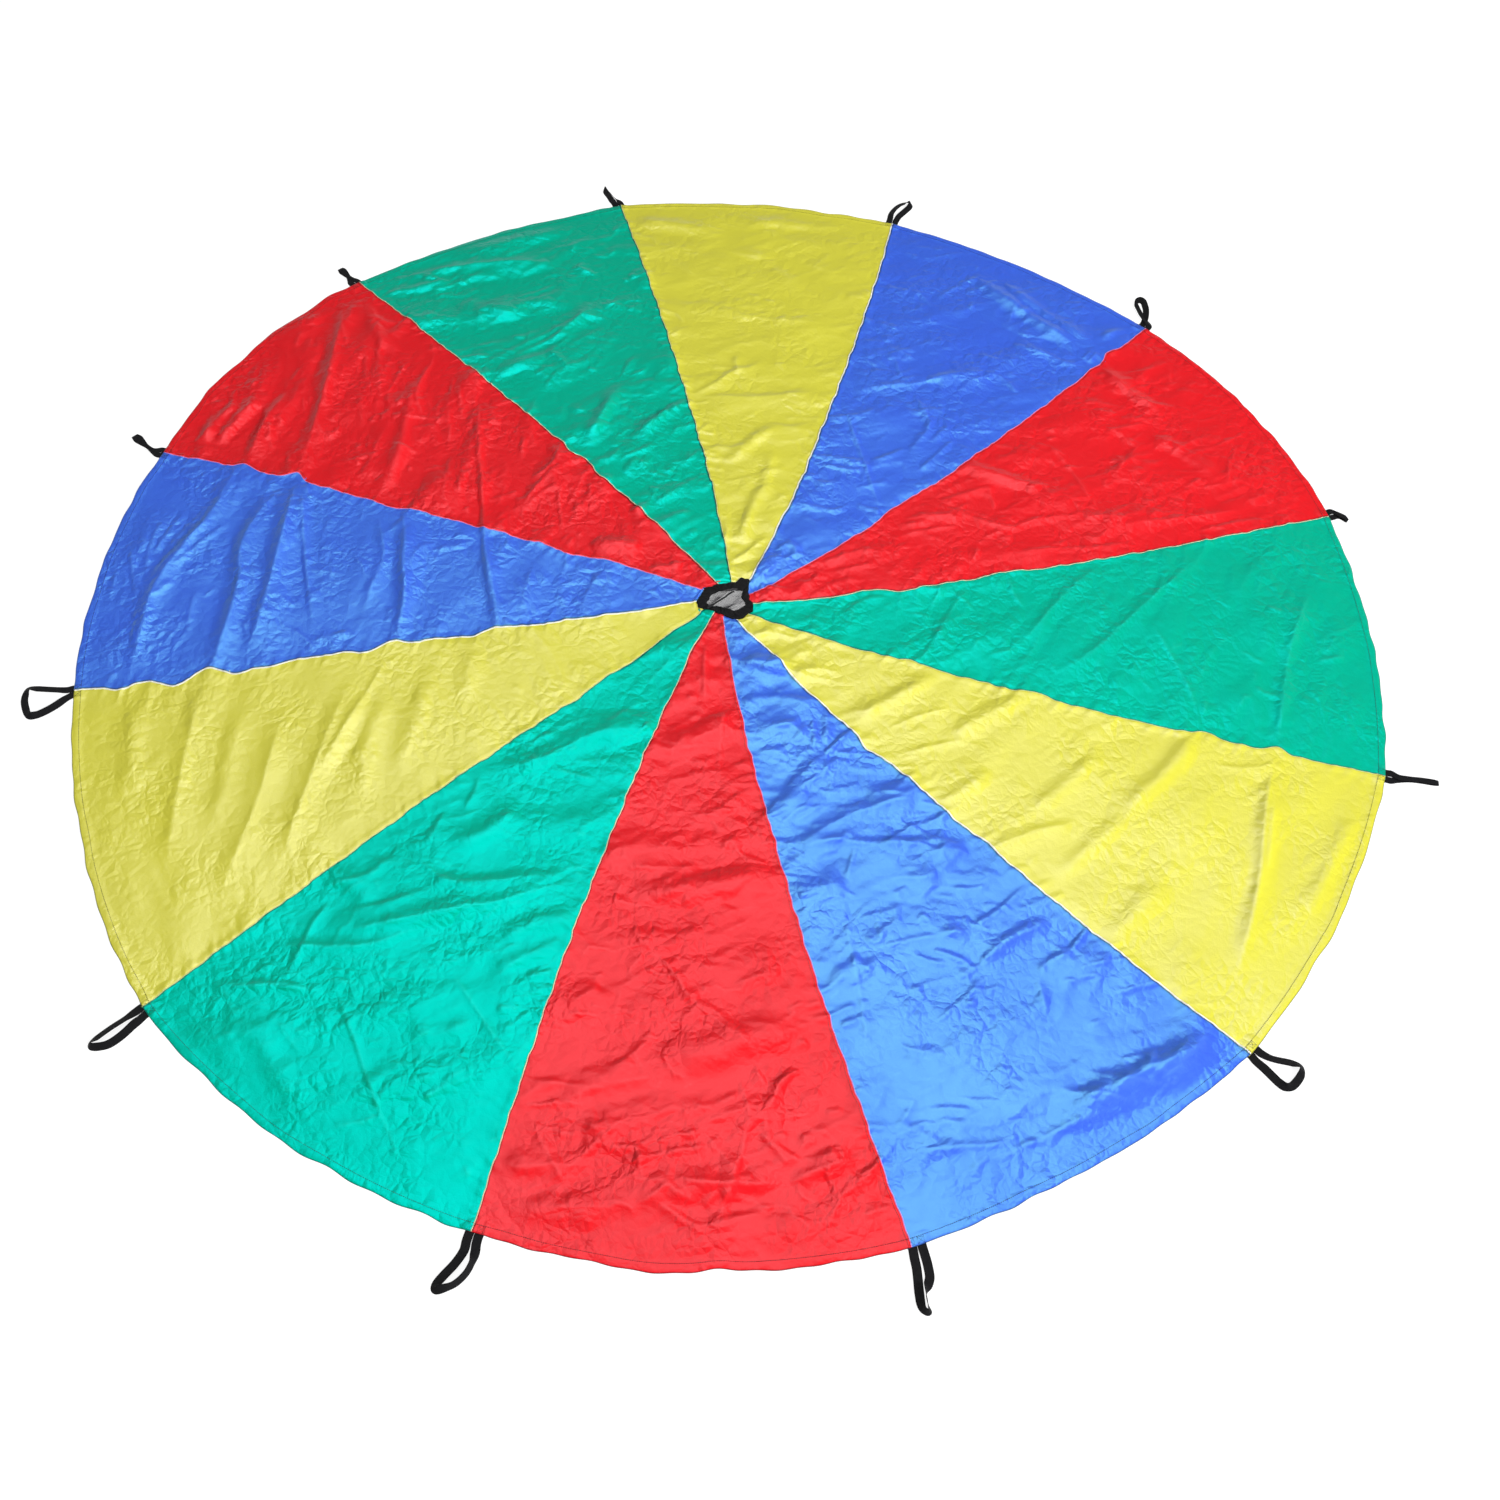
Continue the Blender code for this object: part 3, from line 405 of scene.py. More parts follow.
RIDGES = """
c 3.5 14 -17,-100.5 -14,-104.5 -8,-110 -5,-115.5 1,-118.5 6,-123 10,-127 14,-131.5
c 2 8 -4,-117 2,-121 7,-125
c 2.5 12 -16,-103 -16.5,-106 -18.5,-109.5 -20,-112
c 1 7 -20,-112 -21,-122 -22,-132
c 3 12 -18,-95 -18,-99 -16,-103.5
c 2.5 12 -13,-98 -16,-103.5
c 3.5 16 5,-112.5 8,-111 12,-109.5 17,-106
c 3 14 -31,-118.5 -27,-115.5 -25,-113.5
c 4 16 -22,-134 -17,-131 -14,-127.5 -11.5,-125
f 8 42 -12,-130 0,-129 6,-126 13,-123 24,-121
c 2 10 7,-133 9,-138 10.5,-143
c 3 12 12,-145.5 17,-150.5 20,-153.5
c 2.5 10 14,-147 18,-150 23,-153
c 3 14 -23,-150 -16,-151 -10,-149 -4,-147.5 4,-145
c 4.5 18 -19,-155 -12,-153 -6,-151 3,-149.5
l 6 20 -6,-157 0,-157.5 8,-157.5 16,-157 20,-157
l 6 22 18,-157.5 25,-153.5 34,-150.5
c 3.5 14 19.5,-157 23,-160 29,-162
c 3.5 14 -13,-163 -9,-160.5 -6.5,-158 -4,-160 1,-162
c 3.5 14 -9,-161.5 -4,-164.5 1,-167 3,-169
c 4 16 1,-167 6,-165 12,-163.5 17,-162
c 1.5 8 -39,-142 -34,-150 -31,-154.5 -26,-162
f 5 30 -42,-155 -33,-156 -25,-157
c 3 14 -40,-137 -34,-137 -24,-138
c 2.5 12 -19,-162.5 -15,-162.5 -12,-165
f 5 30 -44,-166 -30,-165 -16,-164
l 5.5 20 -23,-82.5 -15,-83 -8,-82.5 -1.5,-81.3
c 2 9 -22.5,-76 -22.5,-82
c 3.5 14 -1,-80 1,-78 2.5,-73.5 4,-76 6.5,-78.5 10,-79.5 13,-79
c 3 13 -4,-67 1,-65 4,-61 8,-59
c 1.2 7 -20,-56.8 -14,-56.6 -8,-56.5
c 1.2 8 -13,-45 -13,-58 -15,-68
c 1.2 8 -0.5,-30 -1,-45 -1,-60
f 8 38 -16,-48 -5,-43 4,-37
f 9 42 -22,-91 -10,-88.5 0,-86 8,-83.5 16,-80
c 3 12 -6.5,-13 -6.5,-23 -5.5,-34
c 2.5 12 -26,-91 -20,-92.5 -14,-94
l 5.5 18 2,-32.5 8,-31.5 14,-30.5 20,-31.5 25,-31
f 7 30 3,-20 10,-19 16,-19
l 5.5 20 7,-43 13,-39.5 18,-40 21,-43 23,-45.5
c 5 10 34,-38.5 29,-43.5 26.5,-47 24.5,-49.5
c 3 12 25.5,-33 26,-40 25.5,-46
c 2.5 10 22,-35 22.5,-41 23,-48
f 9 34 28,-47 22,-54 18,-60 13,-67
c 3.5 12 32,-46 29,-48 27.5,-50.5 24,-55
c 3 12 34,-45 30,-50.5 27.5,-54 26.5,-61
c 3 12 27,-59 31,-57.5 35,-56
c 3 12 28,-64 33,-63 36,-61
f 6 30 34,-60 42,-57 50,-52
l 8 26 14,-78 22,-73 28,-68 34,-64.5 40,-62 44,-60 53,-56
l 5.5 18 17,-77 23,-74 29,-72.5 34,-73.5 42,-73 52,-71.5 61,-72.5
c 3 9 33.5,-74 32,-79 31,-84.5
c 3 12 40,-66 46,-67 53,-71 60,-72
c 3 12 49,-60.5 57,-62.5
f 6 28 45,-86 52,-79.5 57,-75 61,-70
c 2.5 10 42,-87 46,-84.5
c 3 12 56,-84.5 61,-84.5 66,-83
f 7 32 17,-89 25,-86.5 32,-84
c 4 14 50,-100.5 57,-102.5 61.5,-105.5
l 5 16 61.5,-105.5 66,-100 70,-97 76,-94 79,-90
c 4 15 58,-96 66,-91 70,-87 75,-82
c 5 10 82,-99 83.5,-99.5 86,-96 89,-92
c 3 12 76,-94.5 79,-98 83.5,-99.5
c 3.5 14 76,-107 77,-103 81,-100.5 84,-99.5
c 3.5 16 50,-120 57,-114 64,-107
f 11 32 76,-142 88,-133.5 97,-128.5 106,-124 117,-118
c 4 16 88,-133.5 97,-128.5 106,-124
l 5.5 18 44,-148.5 50,-148 57,-147 64,-146.5 70,-143 73,-140
c 4 16 60,-151 70,-146 80,-141 89,-137
c 3 12 85,-104 90,-102 96,-101 101,-100
c 3 12 80,-108 86,-106 92,-104
c 3 12 46,-139.5 53,-138.5 60,-139
c 1.8 8 30,-86 31,-95 32.5,-103 35,-117 36,-130 37.5,-134
c 2.5 9 32,-103 35,-106 38,-107.5
c 3 12 75,-105 76,-111 77,-116
c 3 14 33,-94 40,-92 46,-89
c 3 14 40,-101 48,-98 54,-97
f 6 30 25,-110 33,-107 43,-104
c 3 12 29,-121 36,-118
c 3 12 92,-110 100,-107 106,-106
c 3 12 85,-118 93,-115 100,-114
l 8 26 -57,-58 -50,-55 -45,-53 -40,-50 -35,-46 -29,-43.5 -23,-37
c 3 12 -42,-56 -36,-57.5 -31,-58.5
c 3.5 12 -60,-59 -61,-65 -63,-69.5
c 3.5 14 -67,-69 -69,-75 -70.5,-80
l 5 18 -72,-81 -70,-85 -64,-89 -57,-89 -50,-88 -41,-86 -33,-87
c 4 16 -86,-98 -79,-96.5 -73,-94 -68,-91.5
l 9 26 -91,-104 -80,-102 -70,-99 -60,-96 -52,-94.5 -44,-91 -36,-88 -28,-86
l 6 20 -103,-108 -96,-107.5 -88,-107.5 -80,-107 -73,-104 -65,-100
c 4 15 -113,-117.5 -105,-118 -98,-117 -92,-118 -86,-118
c 3.5 12 -97,-117 -94,-108 -93.5,-103 -91,-97 -88,-90
c 2.2 9 -87,-113 -82,-122 -77,-131 -72,-141 -66,-151 -61,-160
c 1.8 8 -60,-111 -52,-121 -45,-130 -40,-135
f 6 28 -68,-125 -60,-127.5 -51,-124
c 3.5 14 -48,-120 -42,-120.5
f 5 30 -118,-126 -106,-134 -95,-143
f 5 30 -102,-126 -92,-140 -82,-150
f 6 30 -94,-87 -84,-92 -79,-97
f 6 26 -30,-96 -40,-99 -51,-103
f 6 26 -32,-104 -42,-107 -51,-112
f 6 26 -65,-80 -58,-77 -53,-72 -49,-65
c 3 12 -14.5,-33 -20,-33.5 -24,-35 -31,-43
c 2 10 -15,-20 -19,-25 -22,-30
f 7 32 -16,-40 -24,-43 -31,-49
l 7 28 -135,-28 -135,-45 -134,-60 -132,-78 -130,-93
l 6 26 -112,-36 -113,-52 -113,-68 -115,-85 -116,-100
l 7 26 -97,-30 -100,-45 -101.5,-60 -103,-72 -104,-90
f 5 24 -93,-36 -97,-50 -99,-62
f 5 26 -87,-33 -90,-50 -88,-68
f 5 26 -124,-38 -123,-60 -122,-82
f 5 28 -151,-40 -148,-55 -144,-72
f 5 26 -78,-26 -79,-45 -81,-62
f 4 24 -68,-18 -67,-37
c 3 12 -89,-20 -92,-33 -97,-48 -100,-62
l 14 30 -126.5,44 -126.5,37 -126,20 -125.5,0 -125.5,-15 -127,-30
c 5 14 -125,38 -124,33 -121,20 -118,8 -114,-5 -111,-16
l 12 26 -131,34 -134,26 -136.5,15 -136,8 -134,1 -133.5,-12 -134,-25 -134,-36
l 11 26 -143,48 -145,40 -147,25 -151,13 -155,2 -156.5,-8 -155.5,-20 -154.5,-40
c 3.5 10 -145,25 -151,15 -156,5 -158.5,-4
c 3 10 -149,27 -154,16 -157,8
c 3 10 -155,25 -158,15 -160,6
c 3 9 -160,22 -161.5,12 -160,0
c 3 10 -141,22 -147,14 -153,3
c 3 10 -167,13 -165,5 -162,-3 -159.5,-9
c 2.5 10 -170,10 -168,0 -167,-8
c 2 10 -144.5,-3 -145,-10 -143,-20
l 5 18 -101.5,27 -98,16 -96.5,10 -98,0 -99,-11
l 13 24 -95,30 -92,18 -91,8 -89.5,2 -88.5,-4 -88.5,-12 -88.5,-22
c 3 12 -84,17 -88,14 -89,8
c 2.5 10 -85,13 -80,16 -74,16
c 5 14 -81,86 -79,70 -78,60 -76,50 -73.5,38 -71.5,25 -70,17 -68,8 -66,0 -64,-8 -62,-16
l 7 22 -70,17 -67,8 -65,0 -63,-8 -61.5,-15
c 2 7 -154,-17 -149,-19 -146,-20
c 2 7 -152,-33 -145,-34 -139,-33
c 2 8 -132,5 -130,0 -130.5,-3
c 3 12 -118,-15 -112,-19 -108,-24
c 3.5 14 -111,-20 -105,-17 -99,-15.5
c 1.8 7 -117,4.5 -110,4.5 -106,2.5
c 4 14 -36,10 -39,4 -40,-1 -38,-6
c 3 12 -50,1.5 -44,5 -41,7
c 3 10 -43,0 -40,-4 -37,-7
c 3 10 -47,17 -46.5,9
c 3 10 -43,14 -43,5
c 2.5 8 -24,4 -20,2 -20,-1
c 2.5 8 -16,3 -14,0 -13,-3
l 14 30 -128,116 -127,104 -126.5,92 -126,80 -126,65 -126.5,40
f 9 26 -131,115 -138,103 -145,90
f 8 24 -133,110 -141,103 -149,92
f 7 26 -122,118 -118,106 -113,98 -106,92
f 8 20 -145,72 -149,60 -153,49
f 8 20 -151,70 -156,58 -157,49
l 8 24 -137,74 -141,60 -142,44
c 4 12 -140,60 -138,56 -139,52
f 6 20 -98,98 -97,87 -100,75 -100,65 -99,55 -100,45 -101,33
c 3 9 -97,97 -96,90 -98,84 -99,75 -96,68 -94,62
c 2 8 -98,60 -94,62 -89,62
c 3.5 10 -53,58 -54,50 -57,45 -62,42
c 3.5 10 -51,50 -55,45 -58,40 -60,35 -61,30
c 3.5 10 -51,42 -51.5,36 -50,30 -49,22
c 3 10 -51,42 -57,37 -61,30
c 3 10 -46,38 -46,30 -44,24
c 3 10 -49,19 -46,24 -46,28
c 3 10 -44,15 -44,22 -43,27
c 3 12 -72,33 -66,36 -60,40
l 5.5 16 -26,10.5 -18,12 -12,13.5
f 8 26 -43,19 -33,19 -25,18
c 2.5 7 -13,7 -11,5 -9,4
f 10 32 -117,132 -100,141 -85,147 -70,153 -56,159
l 8 24 -122,122.5 -113,127.5 -104,131.5 -94,134.5 -84,137 -72,138.5 -60,140
f 6 20 -118,119.5 -106,123 -95,128
f 5 30 -95,118 -82,116 -70,109
l 5 18 -50,121 -54,112 -59,105 -62.5,97
c 3.5 14 -62,98 -57,93 -54,90
c 3 12 -89,91 -84,93 -79,93
f 4 22 -77,84 -70,90 -61,95
c 3 12 -38,86 -37,92 -34,97
f 8 20 -38,84 -41,74 -43,66 -46,57
c 3 12 -35,74 -32,72 -29,70
c 3 12 -65,68 -62,73
f 8 22 -16,79 -22,74 -27,68 -32,60
c 4 14 -27,48 -23,46.5 -19,46.5
c 3.5 12 -22,28 -19,30 -17,32 -13,33
l 6 22 -18,79.5 -10,80.5 0,80.5 8,81.5 15,83.5 25,84
l 4 22 -13,121.5 -4,118.5 4,117 14,116.5 27,116
f 6 30 -42,163 -28,162 -18,160 -8,156
f 5 26 -8,165 6,166 20,165 36,166
f 3.5 24 -8,153 2,148 8,142 14,133 18,127
f 3 24 8,153 20,145 30,139
f 3 20 -29,147 -22,140 -17,135
c 3 12 11,73 18,73.5 25,73
c 3 10 15,77 20,75 24,73.5
f 6 20 -5,52 0,58 5,65 11,70
f 5 18 6,38 8,48 9,59
f 6 18 7,45 4,36 2,28 1,18
l 5 18 30,85 38,87.5 46,89.5 54,91 62,95 74,97
c 3.5 12 75,97 80,94.5 84,87.5
l 5 16 84,114 90,109 95,105.5 101,102.5 108,101
f 9 24 71,145 80,134.5 88,126 97,117.5 107,108.5
f 6 20 80,144 87,134 95,126 104,118 111,110
c 3.5 8 105,105 108,109.5
c 3.5 8 106.5,104 110,109
c 4.5 14 23,73 30,74.5 36,75.5 41,79
c 5 14 20,57.5 28,57 37,56
c 3.5 12 22,54.5 29,53 36,52
l 4.5 14 51,89 53.5,81 56,74.5 55,69 51,64 49,58
c 3 10 30,81 33,68 36,57 38.5,46 41,37
c 3.5 12 37,56 42,58 49,63
c 3 12 19,50 23,46.5 30,47.5
c 4.5 14 14,38.5 22,37 29,36 33,41
c 3.5 10 33,40 37,37.5 42,37
c 3.5 10 11,20 15,23 19,20
c 3.5 10 13,16 17,19 21,18
c 3 10 14,25 18,17
c 2.5 8 36,119.5 39,118
c 3 10 56,65 62,74
c 3 10 50,51 56,58 63,67
c 2 8 46,102 48,92
f 5 14 111,115 118,120 124,121
f 7 22 62,58 72,54 80,51 91,49
c 3 12 56,41 65,45 74,49
c 2.2 9 91,68 97,58 100,50 103,41
l 9 22 109,105 115,95 121,88 129,81
c 3 12 117,89 126,86 133,86
f 5 26 120,76 132,66 143,55
c 3 12 67,27 78,33 88,37 99,39.5
c 3 10 74,22 90,26 104,27 116,31
l 4 14 110,36.5 124,38.5 134,41 147,44.5
c 3 10 126,33 140,38 154,42
c 3 12 20,14 30,19 39,23
c 3 10 27,13 39,17
c 3 10 44,27 55,31 65,33
c 3.5 9 74,20 77,16 80,18
c 3 10 58,40 72,34 82,32
l 5.5 20 103,22 95,13 88,5 82,-4 75,-13
l 6 22 133,28 124,18 115,9 107,0 99,-9 92,-15 83,-21
l 5 18 65,11 60,2 57,-5 53,-13
c 3.5 8 51,-16 54,-11
l 8 22 161,16 154,2 150,-9 147,-20 144,-30 142,-42
c 2.5 9 114,1 117,-7 121,-19 123.5,-31
c 3.5 12 76,15 77,8 80,3
c 3 12 29,-3 36,4 43,5
c 3 12 31,-9 33,1
c 3 8 147,8 151,6
c 3 8 157,-10 166,-8
c 2.5 8 48,0 56,-1.5
f 8 22 31,-39 37,-33 45,-28.5 57,-19
f 8 24 56,-42 66,-34 73,-29.5 82,-23
f 9 26 97,-64 105,-55 112,-49 118,-41 122,-33
l 10 22 142,-38 137,-53 134,-66 131,-79 126,-93 120,-108
c 4 12 139,-52 136,-65 133,-78
f 7 22 161,-56 153,-67 147,-78 139,-90
c 3 12 44,-47 54,-43 63,-41
c 3 10 40,-40 50,-34 60,-31
f 6 22 53,-62 62,-56 68,-50
f 5 24 90,-100 100,-88 109,-79
c 3 10 124,-45 134,-46 143,-43
f 5 22 76,-63 88,-52 97,-42
f 5 22 80,-82 92,-70 103,-60
"""


@dataclass(frozen=True)
class Creases:
    """The least and most length, height and half width of scattered creases, in metres."""

    length: Pair
    height: Pair
    width: Pair


LARGE_CREASES = Creases((0.08, 0.32), (0.0016, 0.0048), (0.012, 0.024))
SMALL_CREASES = Creases((0.03, 0.15), (0.0008, 0.0032), (0.005, 0.012))
# The broad, medium, small and fine waves, and the patches where the small ones are strong: their turn from the
# wrinkles' heading in radians, the metres from crest to crest, and how many times longer than wide they are.
WAVES: tuple[Triple, ...] = (
    (0.0, 0.17, 2.4), (0.3, 0.085, 3.0), (-0.4, 0.045, 2.6), (0.1, 0.025, 2.0), (0.0, 0.30, 1.0))


@dataclass
class Relief:
    """The height of the cloth's underside over the floor, kept on a fine square raster.

    Everything random in it comes from one seed. Heights past the knee are eased towards the knee and the top.
    """

    plan: CanopyPlan
    pitch: float = 0.0025
    reach: float = 1.87
    seed: int = 41
    large_every: int = 6
    sunken: float = 0.3
    forked: float = 0.4
    blunt: float = 0.0012
    knee: float = 0.017
    top: float = 0.014
    over_strap: float = 0.0019

    def __post_init__(self) -> None:
        """Starts with a level raster."""
        self.axis = np.arange(-self.reach, self.reach + self.pitch, self.pitch)
        self.height = np.zeros((len(self.axis), len(self.axis)), np.float32)
        self.rng = np.random.default_rng(self.seed)

    def _span(self, low: float, high: float) -> slice:
        """The raster's rows or columns between two places."""
        first = max(int((low + self.reach) / self.pitch), 0)
        last = min(int((high + self.reach) / self.pitch) + 2, len(self.axis))
        return slice(first, max(last, first + 1))

    def press(self, ridge: Ridge) -> None:
        """Presses one ridge into the relief. Creases and lips are steeper on their far left side."""
        line, folded = ridge.line, ridge.profile is Profile.FOLD
        margin = ridge.width * (2.6 if folded else 5.0)
        columns = self._span(line[:, 0].min() - margin, line[:, 0].max() + margin)
        rows = self._span(line[:, 1].min() - margin, line[:, 1].max() + margin)
        x, y = self.axis[columns][None, :], self.axis[rows][:, None]
        near = np.full((y.shape[0], x.shape[1]), 9.0)
        side, share = np.zeros_like(near), np.zeros_like(near)
        along = travelled(line)
        for index, (start, end) in enumerate(zip(line, line[1:])):
            step = end - start
            length = np.linalg.norm(step)
            at = np.clip(((x - start[0]) * step[0] + (y - start[1]) * step[1]) / length**2, 0, 1)
            off_x, off_y = x - start[0] - at * step[0], y - start[1] - at * step[1]
            far = np.hypot(off_x, off_y)
            closer = far < near
            near = np.where(closer, far, near)
            side = np.where(closer, off_y - off_x, side)
            share = np.where(closer, (along[index] + at * length) / along[-1], share)
        if folded:
            fall = np.exp(-((near / ridge.width) ** 2))
        else:
            lip = ridge.profile is Profile.LIP
            steep = smooth(side * ridge.facing / 0.008 + 0.5)
            reach = ridge.width * (mix(2.9, 1.9, steep) if lip else mix(2.4, 1.3, steep))
            fall = np.clip(1 - np.sqrt(near**2 + self.blunt**2) / reach, 0, 1) ** 2
        fade = smooth(share / ridge.ends) * smooth((1 - share) / ridge.ends)
        self.height[rows, columns] += (ridge.height * fade * fall).astype(np.float32)

    def scatter(self, gore: int, lie: Lie) -> None:
        """Scatters a gore's smaller folds and creases, most of them along its wrinkles. Some of them fork."""
        rng = self.rng
        for count in range(lie.creases):
            size = SMALL_CREASES if count % self.large_every else LARGE_CREASES
            share = math.sqrt(rng.uniform(0.01, 0.98)) if count % 5 else rng.uniform(0.02, 0.4)
            start = self.plan.gore_points(gore, share, np.array([rng.uniform(0.03, 0.97)]))[0]
            stray = rng.uniform(-1, 1) * (lie.spread if rng.uniform() < 0.8 else 90.0)
            heading = math.radians(lie.heading + stray)
            length, height, width = rng.uniform(0, 1, 3) ** (1.6, 1.6, 1.0)
            length, width = mix(*size.length, length), mix(*size.width, width)
            height = lie.bold * mix(*size.height, height)
            if rng.uniform() < self.sunken:
                height *= -0.7
            self._thread(start, heading, length, height, width)
            if rng.uniform() < self.forked:
                branch = heading + math.radians(rng.uniform(25, 65)) * rng.choice([-1, 1])
                tip = start + unit(heading) * length * rng.uniform(0.2, 0.9)
                self._thread(tip, branch, length * rng.uniform(0.3, 0.6), height * 0.8, width)

    def _thread(self, start: Array, heading: float, length: float, height: float, width: float) -> None:
        """Presses one slightly bent crease into the relief."""
        bend = self.rng.normal(0, 0.16, 5)
        steps = unit(heading + bend) * length / 5
        line = np.concatenate([start[None], start + np.cumsum(steps, axis=0)])
        facing = 1.0 if self.rng.uniform() < 0.7 else -1.0
        self.press(Ridge(Profile.CREASE, height, width, line, 0.35, facing))

    def grain(self, size: int, heading: float, length: float, stretch: float) -> Array:
        """Random waves that run mostly one way.

        Args:
            size: The side of the raster that is filled.
            heading: The direction of their crests, in radians.
            length: The distance from crest to crest.
            stretch: How many times longer they are along their crests.

        Returns:
            The waves, with a spread of 1.
        """
        spectrum = np.fft.rfft2(self.rng.standard_normal((size, size), dtype=np.float32))
        up = np.fft.fftfreq(size, self.pitch)[:, None]
        across = np.fft.rfftfreq(size, self.pitch)[None, :]
        crest = across * math.cos(heading) + up * math.sin(heading)
        beside = up * math.cos(heading) - across * math.sin(heading)
        number = np.sqrt(beside**2 + (crest * stretch) ** 2) * length
        field_ = np.fft.irfft2(spectrum * np.exp(-(((number - 0.9) / 0.75) ** 2)), (size, size))
        return (field_ / field_.std()).astype(np.float32)

    def ruffle(self, gore: int, lie: Lie) -> None:
        """Adds a gore's waves, from broad swells to fine wrinkles, which fade at its seams."""
        plan = self.plan
        edge = np.concatenate([plan.gore_points(gore, share, np.linspace(0, 1, 5)) for share in (0, 0.5, 1)])
        columns = self._span(edge[:, 0].min() - 0.03, edge[:, 0].max() + 0.03)
        rows = self._span(edge[:, 1].min() - 0.03, edge[:, 1].max() + 0.03)
        x, y = self.axis[columns][None, :], self.axis[rows][:, None]
        reach, angle = np.hypot(x, y), np.arctan2(y, x)
        inside = 1.0
        for seam, sign in ((gore, 1), (gore + 1, -1)):
            line = plan.seam_line(seam, np.linspace(0, 1, 60))
            turn = np.interp(reach, np.linalg.norm(line, axis=1), np.unwrap(np.arctan2(line[:, 1], line[:, 0])))
            off = (turn - angle + math.pi) % (2 * math.pi) - math.pi
            inside = inside * smooth(off * sign * reach / 0.05 + 0.5)
        size = max(len(self.axis[columns]), len(self.axis[rows])) + 8
        heading = math.radians(lie.heading)
        broad, medium, small, fine, patch = (
            self.grain(size, heading + turn, length, stretch)[:len(y), :x.shape[1]]
            for turn, length, stretch in WAVES)
        patchy = smooth(patch * 0.5 + 0.5)
        sharp = 0.10 + 0.7 * (1 - patchy)
        total = (broad * 1.25 + 0.60 * (1.1 - np.sqrt(medium**2 + sharp**2))
                 + 0.20 * (1.0 - np.sqrt(small**2 + sharp**2)) * (0.1 + patchy) + 0.07 * fine * patchy)
        self.height[rows, columns] += (total * inside * lie.wave / 1000).astype(np.float32)

    def settle(self) -> None:
        """Lays the whole canopy: listed ridges, waves and small creases, and level where it is held down."""
        plan = self.plan
        for ridge in Ridge.listed(RIDGES):
            middle = ridge.line[len(ridge.line) // 2]
            turn = (plan.first_seam_deg - math.degrees(math.atan2(middle[1], middle[0]))) % 360
            bold = LIES[int(turn * plan.gores / 360) % plan.gores].bold
            self.press(replace(ridge, height=ridge.height * mix(0.7, 1.25, bold)))
        for gore, lie in enumerate(LIES):
            self.ruffle(gore, lie)
            self.scatter(gore, lie)
        x, y = self.axis[None, :], self.axis[:, None]
        from_rim = plan.radius - np.hypot(x, y)
        from_vent = np.hypot(x - plan.vent_middle[0], y - plan.vent_middle[1]) - plan.vent_radius * 0.6
        calm = mix(0.35, 1.0, smooth((from_rim - 0.02) / 0.10)) * mix(0.45, 1.0, smooth(from_vent / 0.08))
        for handle in range(plan.gores):
            angle, radius = plan.seam_rim(handle)
            foot = unit(angle) * radius
            calm *= mix(0.12, 1.0, smooth((np.hypot(x - foot[0], y - foot[1]) - 0.035) / 0.10))
        lifted = (self.height + 0.0015) * calm
        over = np.maximum(lifted - self.knee, 0)
        lifted = np.minimum(lifted, self.knee) + self.top * np.tanh(over / self.top)
        self.height = ((lifted + np.sqrt(lifted**2 + self.blunt**2)) / 2).astype(np.float32)
        for handle in range(plan.gores):
            self._strap_lift(handle)

    def _strap_lift(self, handle: int) -> None:
        """Raises the hem over a handle's two sewn ends."""
        angle, radius = self.plan.seam_rim(handle)
        outward, along = unit(angle), unit(angle + math.pi / 2)
        middle = outward * radius + along * HANDLES[handle].shift * HANDLE_SHIFT
        rows, columns = self._span(middle[1] - 0.07, middle[1] + 0.07), self._span(middle[0] - 0.07, middle[0] + 0.07)
        x, y = self.axis[columns][None, :] - middle[0], self.axis[rows][:, None] - middle[1]
        out = x * outward[0] + y * outward[1]
        side = np.abs(x * along[0] + y * along[1])
        lift = smooth((0.032 - side) / 0.009) * smooth((out + 0.034) / 0.011)
        level = np.maximum(self.height[rows, columns] * (1 - lift), 0)
        self.height[rows, columns] = level + self.over_strap * lift

    def at(self, places: Array) -> Array:
        """The height at places in the plan, read between the raster's points."""
        across = np.clip((places[:, 0] + self.reach) / self.pitch, 0, len(self.axis) - 1.001)
        up = np.clip((places[:, 1] + self.reach) / self.pitch, 0, len(self.axis) - 1.001)
        column, row = across.astype(int), up.astype(int)
        right, above = across - column, up - row
        grid = self.height
        low = mix(grid[row, column], grid[row, column + 1], right)
        high = mix(grid[row + 1, column], grid[row + 1, column + 1], right)
        return mix(low, high, above)

    def wear(self) -> Relief:
        """How sharply the cloth is creased along its crests, 0 to 1, on a raster of its own; the taffeta mixes in a
        painted highlight by it.
        """
        grid = self.height
        sharp = np.zeros_like(grid)
        sharp[2:-2, 2:-2] = (4 * grid[2:-2, 2:-2] - grid[:-4, 2:-2] - grid[4:, 2:-2]
                             - grid[2:-2, :-4] - grid[2:-2, 4:])
        worn = Relief(self.plan, self.pitch, self.reach)
        worn.height = np.clip(sharp / 0.0016, 0, 1).astype(np.float32)
        return worn


# Meshes


